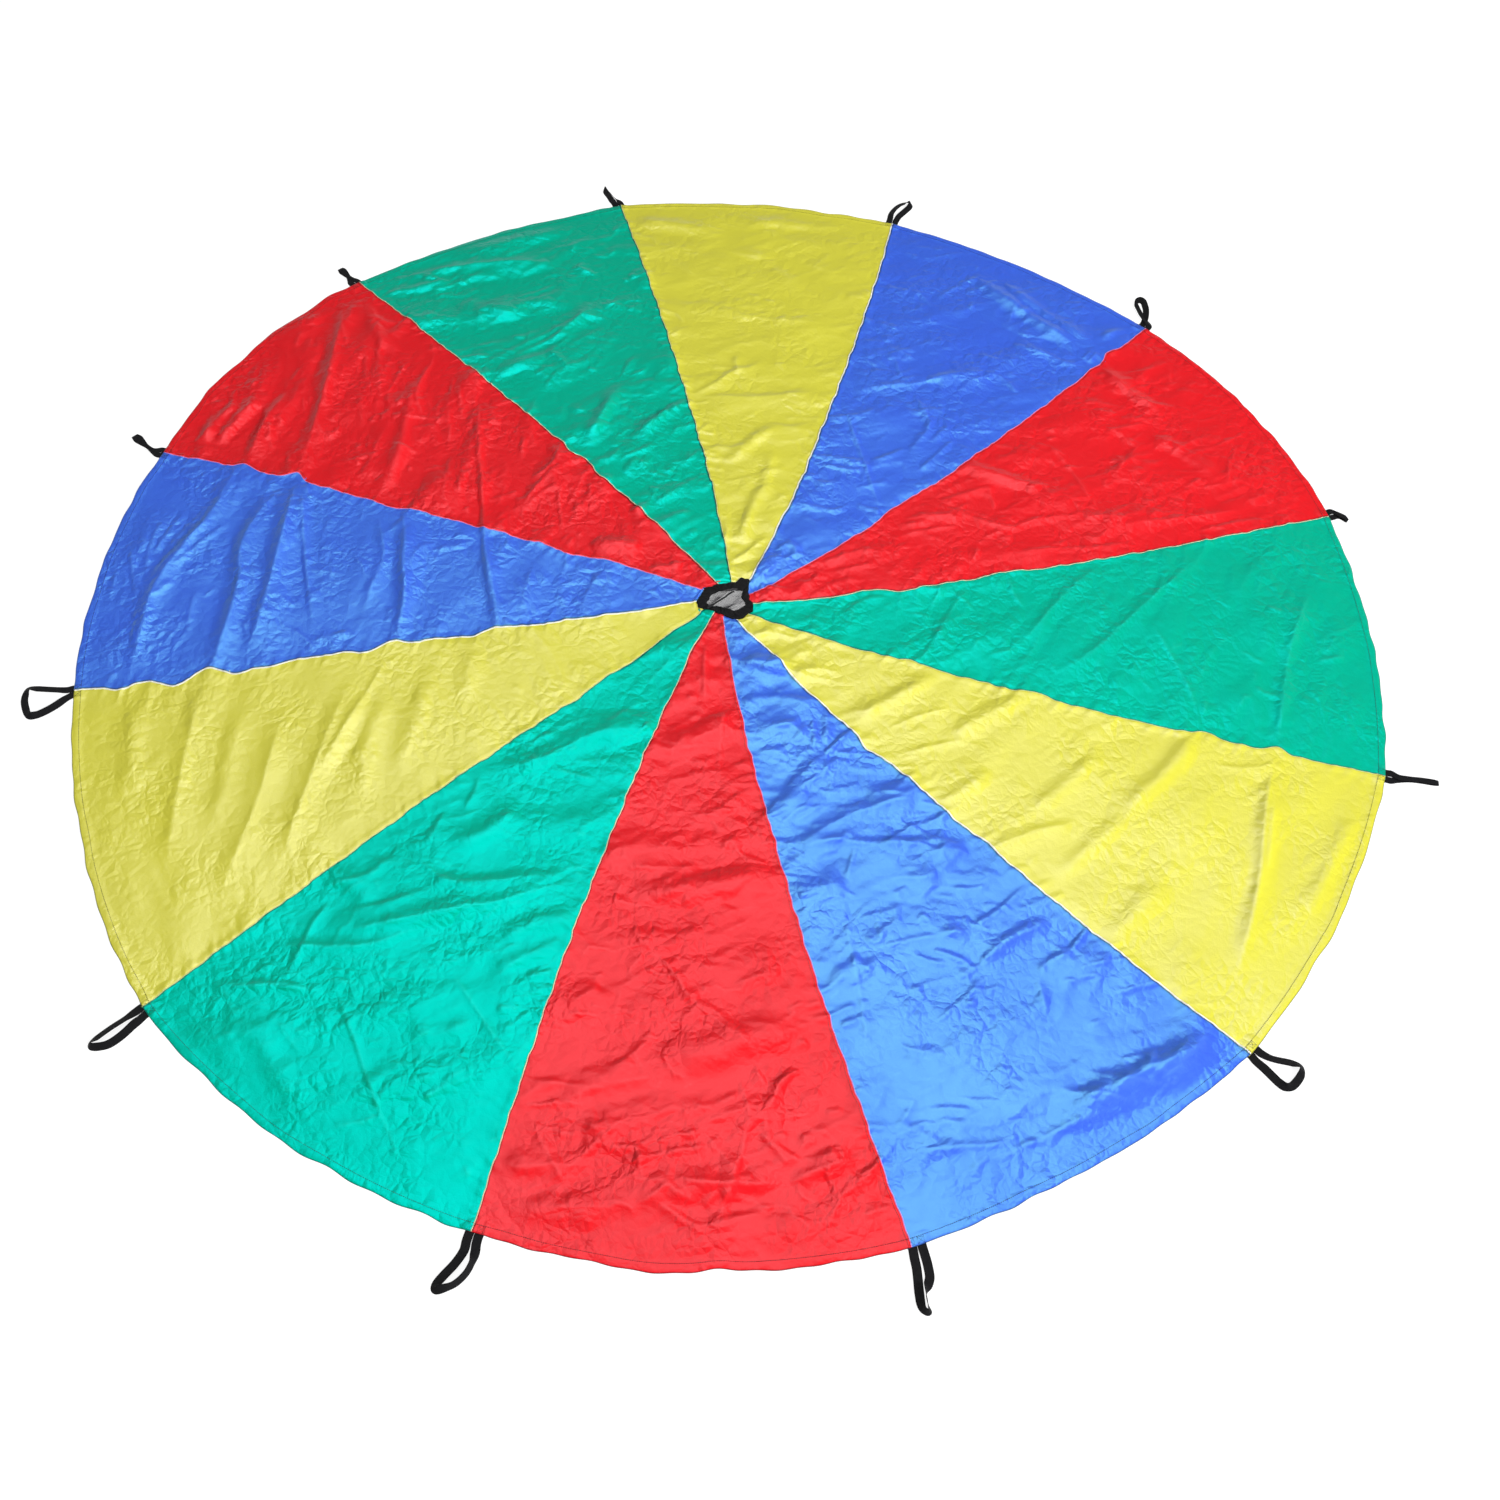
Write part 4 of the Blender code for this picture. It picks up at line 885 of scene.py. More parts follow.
@dataclass
class Surface:
    """Points, triangles and the places in the piece's own cloth of one mesh in the making."""

    points: Array
    faces: Array
    cloth: Array
    marks: dict[str, Array] = field(default_factory=dict)
    walls: int = 0

    def thickened(self, thickness: float) -> Surface:
        """The closed shell of even thickness round this sheet.

        Args:
            thickness: The shell's thickness, half to each side.

        Returns:
            A new surface whose last triangles are the walls along its edges.
        """
        count = len(self.points)
        corners = self.points[self.faces]
        slant = np.cross(corners[:, 1] - corners[:, 0], corners[:, 2] - corners[:, 0])
        normals = np.zeros_like(self.points)
        for corner in range(3):
            np.add.at(normals, self.faces[:, corner], slant)
        normals = unit_rows(normals)
        ends = np.concatenate([self.faces[:, [0, 1]], self.faces[:, [1, 2]], self.faces[:, [2, 0]]])
        keys = np.sort(ends, axis=1)
        code = keys[:, 0].astype(np.int64) * count + keys[:, 1]
        _, first, seen = np.unique(code, return_index=True, return_counts=True)
        rim = ends[first[seen == 1]]
        half = normals * thickness / 2
        points = np.concatenate([self.points + half, self.points - half])
        walls = np.concatenate([
            np.stack([rim[:, 1], rim[:, 0], rim[:, 0] + count], axis=1),
            np.stack([rim[:, 1], rim[:, 0] + count, rim[:, 1] + count], axis=1)])
        faces = np.concatenate([self.faces, self.faces[:, ::-1] + count, walls])
        marks = {name: np.tile(values, 2) for name, values in self.marks.items()}
        return Surface(points, faces, np.tile(self.cloth, (2, 1)), marks, len(walls))

    def to_object(self, name: str, material: Material) -> Object:
        """A mesh object of this surface, with smooth faces, flat walls and the cloth's places as its UV map."""
        mesh = bpy.data.meshes.new(name)
        mesh.vertices.add(len(self.points))
        mesh.vertices.foreach_set("co", self.points.astype(np.float32).ravel())
        mesh.loops.add(len(self.faces) * 3)
        mesh.loops.foreach_set("vertex_index", self.faces.astype(np.int32).ravel())
        mesh.polygons.add(len(self.faces))
        mesh.polygons.foreach_set("loop_start", np.arange(0, len(self.faces) * 3, 3, dtype=np.int32))
        rounded = np.ones(len(self.faces), bool)
        if self.walls:
            rounded[-self.walls:] = False
        mesh.update(calc_edges=True)
        mesh.polygons.foreach_set("use_smooth", rounded)
        layer = mesh.uv_layers.new(name="UVMap")
        layer.data.foreach_set("uv", self.cloth[self.faces.ravel()].astype(np.float32).ravel())
        for mark, values in self.marks.items():
            mesh.attributes.new(mark, "FLOAT", "POINT").data.foreach_set("value", values.astype(np.float32))
        mesh.validate()
        mesh.materials.append(material)
        return link(bpy.data.objects.new(name, mesh))


def link(obj: Object) -> Object:
    """Adds an object to the scene."""
    bpy.context.scene.collection.objects.link(obj)
    return obj


def strip_faces(first: Array, second: Array) -> Array:
    """Triangles between two rows of points, which may differ in number, facing up to the left of their way out."""
    if len(first) == len(second):
        low, high, far_low, far_high = first[:-1], first[1:], second[:-1], second[1:]
        even = (np.arange(len(low)) + int(first[0])) % 2 == 0
        split = np.where(
            even[:, None],
            np.concatenate([np.stack([low, high, far_high], 1), np.stack([low, far_high, far_low], 1)], 1),
            np.concatenate([np.stack([low, high, far_low], 1), np.stack([high, far_high, far_low], 1)], 1))
        return split.reshape(-1, 3)
    faces, at, on = [], 0, 0
    while at < len(first) - 1 or on < len(second) - 1:
        if on == len(second) - 1 or (
                at < len(first) - 1 and (at + 1) * (len(second) - 1) <= (on + 1) * (len(first) - 1)):
            faces.append((first[at], first[at + 1], second[on]))
            at += 1
        else:
            faces.append((first[at], second[on + 1], second[on]))
            on += 1
    return np.array(faces)


def rows_surface(rows: Sequence[Array], cloth: Sequence[Array], **marks: Sequence[Array]) -> Surface:
    """A sheet through rows of points.

    Args:
        rows: The points of each row.
        cloth: The places of the same points in the cloth.
        marks: Named values of the same points.

    Returns:
        The sheet.
    """
    starts = np.cumsum([0] + [len(row) for row in rows])
    index = [np.arange(starts[at], starts[at + 1]) for at in range(len(rows))]
    faces = np.concatenate([strip_faces(low, high) for low, high in zip(index, index[1:])])
    return Surface(np.concatenate(rows), faces, np.concatenate(cloth),
                   {name: np.concatenate(values) for name, values in marks.items()})


# Finishes


def by_id(sockets: Iterable[Socket], identifier: str) -> Socket:
    """One of several sockets that may share their names, by its identifier."""
    return next(item for item in sockets if item.identifier == identifier)


class Graph:
    """A short way to build a node tree."""

    def __init__(self, tree: Tree) -> None:
        """Takes a tree and empties it."""
        self.tree = tree
        tree.nodes.clear()

    def put(self, socket: Socket, value: object) -> None:
        """Links a socket to an output, or sets its value."""
        if isinstance(value, Socket):
            self.tree.links.new(value, socket)
        else:
            socket.default_value = value

    def node(self, kind: str, links: dict | None = None, **settings: object) -> bpy.types.Node:
        """Adds a node.

        Args:
            kind: The node's type.
            links: Its inputs, by name or number, each a socket to link or a value to set.
            settings: The node's own properties.

        Returns:
            The node.
        """
        node = self.tree.nodes.new(kind)
        for name, value in settings.items():
            setattr(node, name, value)
        for name, value in (links or {}).items():
            self.put(node.inputs[name], value)
        return node

    def group(self, tree: Tree, links: dict) -> bpy.types.NodeOutputs:
        """Places a shader group, and gives its outputs."""
        return self.node("ShaderNodeGroup", links, node_tree=tree).outputs

    def math(self, operation: str, *values: Socket | float) -> Socket:
        """One Math node's result."""
        return self.node("ShaderNodeMath", dict(enumerate(values)), operation=operation).outputs[0]

    def noise(self, place: Socket, scale: Socket | float, detail: float, **links: float) -> bpy.types.NodeOutputs:
        """A Noise Texture's outputs."""
        return self.node("ShaderNodeTexNoise", {"Vector": place, "Scale": scale, "Detail": detail, **links}).outputs

    def ramp(self, value: Socket, low: float, high: float, to_low: float = 0.0, to_high: float = 1.0) -> Socket:
        """A value spread from one span to another, and held at its ends."""
        return self.node("ShaderNodeMapRange", {
            "Value": value, "From Min": low, "From Max": high, "To Min": to_low, "To Max": to_high}).outputs[0]

    def blend(self, share: Socket, first: object, second: object) -> Socket:
        """A colour a share of the way between two others."""
        node = self.node("ShaderNodeMix", data_type="RGBA")
        for label, value in (("Factor_Float", share), ("A_Color", first), ("B_Color", second)):
            self.put(by_id(node.inputs, label), value)
        return by_id(node.outputs, "Result_Color")

    def bump(self, height: Socket, strength: float, distance: float, **under: Socket) -> Socket:
        """A Bump node's normal, laid over the one that is given as Normal."""
        links = {"Height": height, "Strength": strength, "Distance": distance, **under}
        return self.node("ShaderNodeBump", links).outputs[0]


class Kind(Enum):
    """What a shader group's socket carries, when it isn't a number with a value of its own."""

    FLOAT = "NodeSocketFloat"
    VECTOR = "NodeSocketVector"
    COLOUR = "NodeSocketColor"


def shader_group(name: str, inputs: dict[str, Kind | float], *outputs: tuple[str, Kind]
                 ) -> tuple[Tree, Graph, bpy.types.NodeOutputs, bpy.types.NodeInputs]:
    """A new shader node group with named inputs and outputs.

    Args:
        name: The group's name.
        inputs: What each input carries, or its value.
        outputs: Each output's name and what it carries.

    Returns:
        The tree, its Graph, the group's inputs and the sockets that take its outputs.
    """
    tree = bpy.data.node_groups.new(name, "ShaderNodeTree")
    for label, given in inputs.items():
        kind = given if isinstance(given, Kind) else Kind.FLOAT
        socket = tree.interface.new_socket(label, in_out="INPUT", socket_type=kind.value)
        if given is not kind:
            socket.default_value = given
    for label, kind in outputs:
        tree.interface.new_socket(label, in_out="OUTPUT", socket_type=kind.value)
    graph = Graph(tree)
    return tree, graph, graph.node("NodeGroupInput").outputs, graph.node("NodeGroupOutput").inputs


class Effects:
    """The shader groups that several finishes share."""

    def __init__(self) -> None:
        """Builds each group once."""
        self.crinkle = self._crinkle()
        self.weave = self._weave()
        self.mottle = self._mottle()
        self.twist = self._twist()

    @staticmethod
    def _crinkle() -> Tree:
        """Small flat facets that meet in sharp creases, at two scales, with a slow change of strength."""
        tree, graph, given, sink = shader_group(
            "fine crinkle", {"Vector": Kind.VECTOR, "Cell": 0.05, "Warp": 0.02}, ("Height", Kind.FLOAT))
        size = graph.math("DIVIDE", 1.0, given["Cell"])
        warp = graph.noise(given["Vector"], 9.0, 2.0)["Color"]
        off = graph.node("ShaderNodeVectorMath", {0: warp, 1: (0.5, 0.5, 0.5)}, operation="SUBTRACT")
        scaled = graph.node("ShaderNodeVectorMath", {0: off.outputs[0], "Scale": given["Warp"]}, operation="SCALE")
        place = graph.node("ShaderNodeVectorMath", {0: given["Vector"], 1: scaled.outputs[0]}, operation="ADD")
        place = place.outputs[0]
        turned = graph.node("ShaderNodeMapping", {"Vector": place, "Rotation": (0.0, 0.0, 0.9)}).outputs[0]
        coarse, fine = (
            graph.node("ShaderNodeTexVoronoi", {"Vector": vector, "Scale": scale}, feature="DISTANCE_TO_EDGE")
            for vector, scale in ((place, size), (turned, graph.math("MULTIPLY", size, 2.3))))
        small = graph.math("MULTIPLY", fine.outputs["Distance"], 0.40)
        strength = graph.ramp(graph.noise(given["Vector"], 5.5, 1.0)[0], 0.38, 0.62, 0.25, 1.0)
        total = graph.math("MULTIPLY", graph.math("ADD", coarse.outputs["Distance"], small), strength)
        graph.put(sink["Height"], total)
        return tree

    @staticmethod
    def _weave() -> Tree:
        """Two sets of threads that pass over and under each other."""
        tree, graph, given, sink = shader_group(
            "plain weave", {"Vector": Kind.VECTOR, "Across": 0.0006, "Along": 0.0006}, ("Height", Kind.FLOAT))
        place = graph.node("ShaderNodeSeparateXYZ", {0: given["Vector"]}).outputs
        across, along = (
            graph.math("SINE", graph.math("MULTIPLY", graph.math("DIVIDE", way, given[pitch]), math.pi))
            for way, pitch in ((place[0], "Across"), (place[1], "Along")))
        over = graph.math("MULTIPLY", across, along)
        top = graph.math("ADD", graph.math("MULTIPLY", over, 0.5), 0.5)
        warp = graph.math("MULTIPLY", graph.math("ABSOLUTE", across), top)
        weft = graph.math("MULTIPLY", graph.math("ABSOLUTE", along), graph.math("SUBTRACT", 1.0, top))
        graph.put(sink["Height"], graph.math("ADD", warp, weft))
        return tree

    @staticmethod
    def _mottle() -> Tree:
        """Slow, slight change of a colour between two others, paler by a given share, which on the taffeta is a
        painted highlight where the cloth is creased.
        """
        tree, graph, given, sink = shader_group(
            "dye mottle", {"Vector": Kind.VECTOR, "Colour": Kind.COLOUR, "Deep": Kind.COLOUR,
                           "Worn": Kind.COLOUR, "Wear": 0.0, "Scale": 4.0},
            ("Colour", Kind.COLOUR), ("Value", Kind.FLOAT))
        noise = graph.noise(given["Vector"], given["Scale"], 4.0, Roughness=0.6)
        share = graph.ramp(noise[0], 0.35, 0.65)
        mixed = graph.blend(share, given["Colour"], given["Deep"])
        graph.put(sink["Colour"], graph.blend(given["Wear"], mixed, given["Worn"]))
        graph.put(sink["Value"], share)
        return tree

    @staticmethod
    def _twist() -> Tree:
        """The slanting plies of sewing thread."""
        tree, graph, given, sink = shader_group(
            "thread twist", {"Vector": Kind.VECTOR, "Pitch": 0.0008}, ("Height", Kind.FLOAT))
        place = graph.node("ShaderNodeSeparateXYZ", {0: given["Vector"]}).outputs
        total = graph.math("ADD", graph.math("ADD", place[0], place[1]), place[2])
        turns = graph.math("MULTIPLY", graph.math("DIVIDE", total, given["Pitch"]), 2 * math.pi)
        graph.put(sink["Height"], graph.math("SINE", turns))
        return tree


def new_material(name: str) -> tuple[Material, Graph]:
    """A new material that uses nodes, and its Graph."""
    material = bpy.data.materials.new(name)
    material.use_nodes = True
    return material, Graph(material.node_tree)


def rgba(colour: Sequence[float], gain: float = 1.0) -> tuple[float, float, float, float]:
    """A colour with full opacity, made lighter or darker by gain."""
    return (*(min(channel * gain, 1.0) for channel in colour), 1.0)


@dataclass(frozen=True)
class Finish:
    """What every finish has: its colour, and a shader whose inputs its kind sets."""

    colour: Triple

    def surface(self, graph: Graph, effects: Effects) -> dict[str, object]:
        """The shader's inputs, each a socket or a value."""
        raise NotImplementedError

    def material(self, name: str, effects: Effects) -> Material:
        """Builds the finish.

        Args:
            name: The material's name.
            effects: The shared shader groups.

        Returns:
            The material.
        """
        material, graph = new_material(name)
        shader = graph.node("ShaderNodeBsdfPrincipled", {"Metallic": 0.0, **self.surface(graph, effects)})
        graph.node("ShaderNodeOutputMaterial", {"Surface": shader.outputs[0]})
        material.diffuse_color = rgba(self.colour)
        return material


@dataclass(frozen=True)
class TaffetaFinish(Finish):
    """Thin, glossy, plain-woven polyester with fine crinkles, with painted shade in a thin line beside its seams and
    at the hem's fold, and a painted highlight along its crease crests.
    """

    deep: Triple
    worn: Triple
    tint: Triple
    crinkle: float
    roughness: float = 0.38
    cell: float = 0.044
    thread: float = 0.0007
    wear: float = 0.25
    groove: float = 0.16
    # The span of the cloth's outward place over which the hem's rolled edge gets painted shade.
    hem_edge_shade: Pair = (1.7602, 1.7632)

    def surface(self, graph: Graph, effects: Effects) -> dict[str, object]:
        """The shader's inputs, each a socket or a value."""
        coordinates = graph.node("ShaderNodeTexCoord").outputs
        place, cloth = coordinates["Object"], coordinates["UV"]
        # The paler colour mixed in where the cloth is sharply creased is a painted highlight along the crease crests.
        wear, groove = (
            graph.node("ShaderNodeAttribute", attribute_name=mark).outputs["Fac"] for mark in ("wear", "groove"))
        dye = graph.group(effects.mottle, {
            "Vector": place, "Colour": rgba(self.colour), "Deep": rgba(self.deep), "Worn": rgba(self.worn),
            "Wear": graph.math("MULTIPLY", wear, self.wear), "Scale": 3.5})
        # Painted shade: darker where the hem rolls over the rim and beside the seams, mixed towards a darkened copy of
        # the deep colour.
        out = graph.node("ShaderNodeSeparateXYZ", {0: cloth}).outputs[1]
        dark = graph.math("MAXIMUM", graph.ramp(out, *self.hem_edge_shade), groove)
        crinkle = graph.group(effects.crinkle, {"Vector": place, "Cell": self.cell, "Warp": 0.03})["Height"]
        weave = graph.group(effects.weave, {"Vector": cloth, "Across": self.thread, "Along": self.thread})
        creased = graph.bump(crinkle, 1.0, self.crinkle)
        slubs = graph.bump(graph.noise(cloth, 260.0, 2.0)[0], 0.5, 0.0004, Normal=creased)
        return {
            "Base Color": graph.blend(dark, dye["Colour"], rgba(self.deep, self.groove)),
            "Roughness": graph.ramp(dye["Value"], 0.0, 1.0, self.roughness - 0.04, self.roughness + 0.05),
            "Normal": graph.bump(weave["Height"], 0.25, 0.00008, Normal=slubs),
            "IOR": 1.8, "Specular IOR Level": 0.85, "Specular Tint": rgba(self.tint),
            "Sheen Weight": 0.02, "Sheen Roughness": 0.4}


@dataclass(frozen=True)
class WebbingFinish(Finish):
    """Coarse ribbed weave of black polypropylene or cotton tape."""

    pale: Triple
    across: float = 0.0016
    along: float = 0.0022
    depth: float = 0.00035
    roughness: float = 0.62

    def surface(self, graph: Graph, effects: Effects) -> dict[str, object]:
        """The shader's inputs, each a socket or a value."""
        cloth = graph.node("ShaderNodeTexCoord").outputs["UV"]
        ribs = graph.group(effects.weave, {"Vector": cloth, "Across": self.across, "Along": self.along})["Height"]
        dye = graph.group(effects.mottle, {
            "Vector": cloth, "Colour": rgba(self.colour), "Deep": rgba(self.colour, 0.6),
            "Worn": rgba(self.pale), "Wear": graph.math("MULTIPLY", ribs, 0.5), "Scale": 60.0})
        fuzz = graph.bump(graph.noise(cloth, 900.0, 3.0)[0], 0.4, 0.0003)
        return {
            "Base Color": dye["Colour"], "Roughness": self.roughness,
            "Normal": graph.bump(ribs, 0.9, self.depth, Normal=fuzz),
            "Specular IOR Level": 0.10, "Sheen Weight": 0.01, "Sheen Roughness": 0.5}


@dataclass(frozen=True)
class ThreadFinish(Finish):
    """Twisted sewing thread or net yarn."""

    roughness: float = 0.55
    pitch: float = 0.0009

    def surface(self, graph: Graph, effects: Effects) -> dict[str, object]:
        """The shader's inputs, each a socket or a value."""
        place = graph.node("ShaderNodeTexCoord").outputs["Object"]
        twist = graph.group(effects.twist, {"Vector": place, "Pitch": self.pitch})["Height"]
        dye = graph.group(effects.mottle, {
            "Vector": place, "Colour": rgba(self.colour), "Deep": rgba(self.colour, 0.75),
            "Worn": rgba(self.colour, 1.15), "Wear": 0.2, "Scale": 90.0})
        return {
            "Base Color": dye["Colour"], "Roughness": self.roughness,
            "Normal": graph.bump(twist, 0.5, 0.0002), "Sheen Weight": 0.1, "Sheen Roughness": 0.4}


# Each finish's paler third colour is a painted highlight for its crease crests.
TAFFETA: dict[Colour, TaffetaFinish] = {
    Colour.YELLOW: TaffetaFinish(
        (0.64, 0.61, 0.035), deep=(0.60, 0.57, 0.025), worn=(0.74, 0.72, 0.16), tint=(0.5, 0.5, 0.7),
        crinkle=0.0036),
    Colour.BLUE: TaffetaFinish(
        (0.038, 0.10, 0.73), deep=(0.033, 0.09, 0.68), worn=(0.10, 0.26, 0.85), tint=(0.3, 1, 0.6),
        crinkle=0.0050),
    Colour.RED: TaffetaFinish(
        (0.70, 0.006, 0.011), deep=(0.66, 0.005, 0.009), worn=(0.82, 0.06, 0.07), tint=(0.3, 0.16, 0.18),
        crinkle=0.0060),
    Colour.GREEN: TaffetaFinish(
        (0.0, 0.39, 0.225), deep=(0.0, 0.36, 0.205), worn=(0.02, 0.52, 0.34), tint=(0, 0.8, 1),
        crinkle=0.0050),
}


class Wardrobe:
    """Every material of the canopy."""

    def __init__(self) -> None:
        """Builds the materials."""
        effects = Effects()
        self.cloth: dict[Colour, Material] = {}
        self.thread_dark_as_shade: dict[Colour, Material] = {}
        for colour, finish in TAFFETA.items():
            self.cloth[colour] = finish.material(f"{colour.value}_taffeta", effects)
            # Stitch thread at 0.30 of the deep colour: real stitching, darkened to paint the shade along the seam and
            # hem lines.
            thread = tuple(channel * 0.30 for channel in finish.deep)
            self.thread_dark_as_shade[colour] = ThreadFinish(thread).material(f"{colour.value}_thread", effects)
        self.edging: dict[SeamKind, Material] = {
            kind: ThreadFinish(kind.value[1]).material(f"{kind.name.lower()}_overlock", effects)
            for kind in SeamKind}
        webbing = WebbingFinish((0.0035, 0.0035, 0.004), (0.013, 0.013, 0.015))
        tape = WebbingFinish((0.004, 0.004, 0.0045), (0.012, 0.012, 0.013), 0.0007, 0.0009, 0.0002)
        self.webbing = webbing.material("black_webbing", effects)
        self.tape = tape.material("black_vent_tape", effects)
        self.net = ThreadFinish((0.062, 0.060, 0.066), 0.8).material("grey_net", effects)
        self.black_thread = ThreadFinish((0.006, 0.006, 0.007), 0.6).material("black_thread", effects)


# Stitches and threads by Geometry Nodes


def thread_graph(name: str, **inputs: float) -> tuple[Graph, bpy.types.NodeOutputs]:
    """A new Geometry Nodes tree that makes threads along the edges of a guide mesh.

    Args:
        name: The tree's name.
        inputs: Its numbers and their values, besides the guide and the thread's material.

    Returns:
        The tree's Graph and its inputs.
    """
    tree = bpy.data.node_groups.new(name, "GeometryNodeTree")
    tree.interface.new_socket("Geometry", in_out="INPUT", socket_type="NodeSocketGeometry")
    for label, value in inputs.items():
        kind = "NodeSocketInt" if isinstance(value, int) else "NodeSocketFloat"
        tree.interface.new_socket(label, in_out="INPUT", socket_type=kind).default_value = value
    tree.interface.new_socket("Thread", in_out="INPUT", socket_type="NodeSocketMaterial")
    tree.interface.new_socket("Geometry", in_out="OUTPUT", socket_type="NodeSocketGeometry")
    graph = Graph(tree)
    return graph, graph.node("NodeGroupInput").outputs


def end_graph(graph: Graph, made: Socket, thread: Socket) -> Tree:
    """Ends a tree in plain geometry with the thread's material, and gives the tree."""
    real = graph.node("GeometryNodeRealizeInstances", {0: made}).outputs[0]
    dressed = graph.node("GeometryNodeSetMaterial", {"Geometry": real, "Material": thread}).outputs[0]
    graph.node("NodeGroupOutput", {"Geometry": dressed})
    return graph.tree


def run_tree(name: str, mesh: bpy.types.Mesh, tree: Tree, **values: object) -> Object:
    """Runs a Geometry Nodes tree on a guide mesh.

    Args:
        name: The name of what it makes.
        mesh: The guide, which is dropped afterwards.
        tree: The tree.
        values: Its inputs by name.

    Returns:
        A plain mesh object.
    """
    guide = link(bpy.data.objects.new(f"{name}_guide", mesh))
    modifier = guide.modifiers.new("threads", "NODES")
    modifier.node_group = tree
    for item in tree.interface.items_tree:
        if item.item_type == "SOCKET" and item.in_out == "INPUT" and item.name in values:
            modifier[item.identifier] = values[item.name]
    graph = bpy.context.evaluated_depsgraph_get()
    made = bpy.data.meshes.new_from_object(guide.evaluated_get(graph), depsgraph=graph)
    made.name = name
    made.shade_smooth()
    bpy.data.objects.remove(guide)
    return link(bpy.data.objects.new(name, made))


@dataclass(frozen=True)
class Stitch:
    """The pitch and length of a row's stitches, and the thread's radius."""

    pitch: float
    length: float
    radius: float


class StitchRow:
    """A Geometry Nodes tree that sews a row of stitches along the edges of a mesh line."""

    def __init__(self) -> None:
        """Builds the tree: each point of the evened line gets a short length of thread."""
        graph, given = thread_graph("stitch row", Pitch=0.004, Length=0.003, Radius=0.0005, Seed=7)
        line = graph.node("GeometryNodeMeshToCurve", {0: given["Geometry"]})
        even = graph.node("GeometryNodeResampleCurve", {"Curve": line.outputs[0], "Length": given["Pitch"]},
                          mode="LENGTH")
        tangent = graph.node("GeometryNodeInputTangent")
        aim = graph.node("FunctionNodeAlignRotationToVector", {"Vector": tangent.outputs[0]}, axis="X")
        bead = graph.node("GeometryNodeMeshUVSphere", {"Segments": 5, "Rings": 3, "Radius": 1.0})
        half = graph.math("MULTIPLY", given["Length"], 0.5)
        size = graph.node("ShaderNodeCombineXYZ", {0: half, 1: given["Radius"], 2: given["Radius"]})
        shaped = graph.node("GeometryNodeTransform", {"Geometry": bead.outputs[0], "Scale": size.outputs[0]})
        vary = graph.node("FunctionNodeRandomValue", {"Seed": given["Seed"]}, data_type="FLOAT")
        graph.put(by_id(vary.inputs, "Min_001"), 0.88)
        graph.put(by_id(vary.inputs, "Max_001"), 1.1)
        sewn = graph.node("GeometryNodeInstanceOnPoints", {
            "Points": even.outputs[0], "Instance": shaped.outputs[0], "Rotation": aim.outputs[0],
            "Scale": by_id(vary.outputs, "Value_001")})
        self.tree = end_graph(graph, sewn.outputs[0], given["Thread"])

    def sew(self, name: str, lines: Sequence[Array], thread: Material, stitch: Stitch) -> None:
        """Sews one piece of stitching on the canopy.

        Args:
            name: The piece's name.
            lines: The lines of points that the stitches follow.
            thread: The thread's material.
            stitch: The stitches' sizes.
        """
        points = np.concatenate(lines)
        starts = np.cumsum([0] + [len(line) for line in lines])
        edges = [(at, at + 1) for low, high in zip(starts, starts[1:]) for at in range(low, high - 1)]
        mesh = bpy.data.meshes.new(f"{name}_line")
        mesh.from_pydata(points.tolist(), edges, [])
        row = run_tree(name, mesh, self.tree, Pitch=stitch.pitch, Length=stitch.length, Radius=stitch.radius,
                       Seed=len(points), Thread=thread)
        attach(row, CANOPY_BODY)


# The canopy


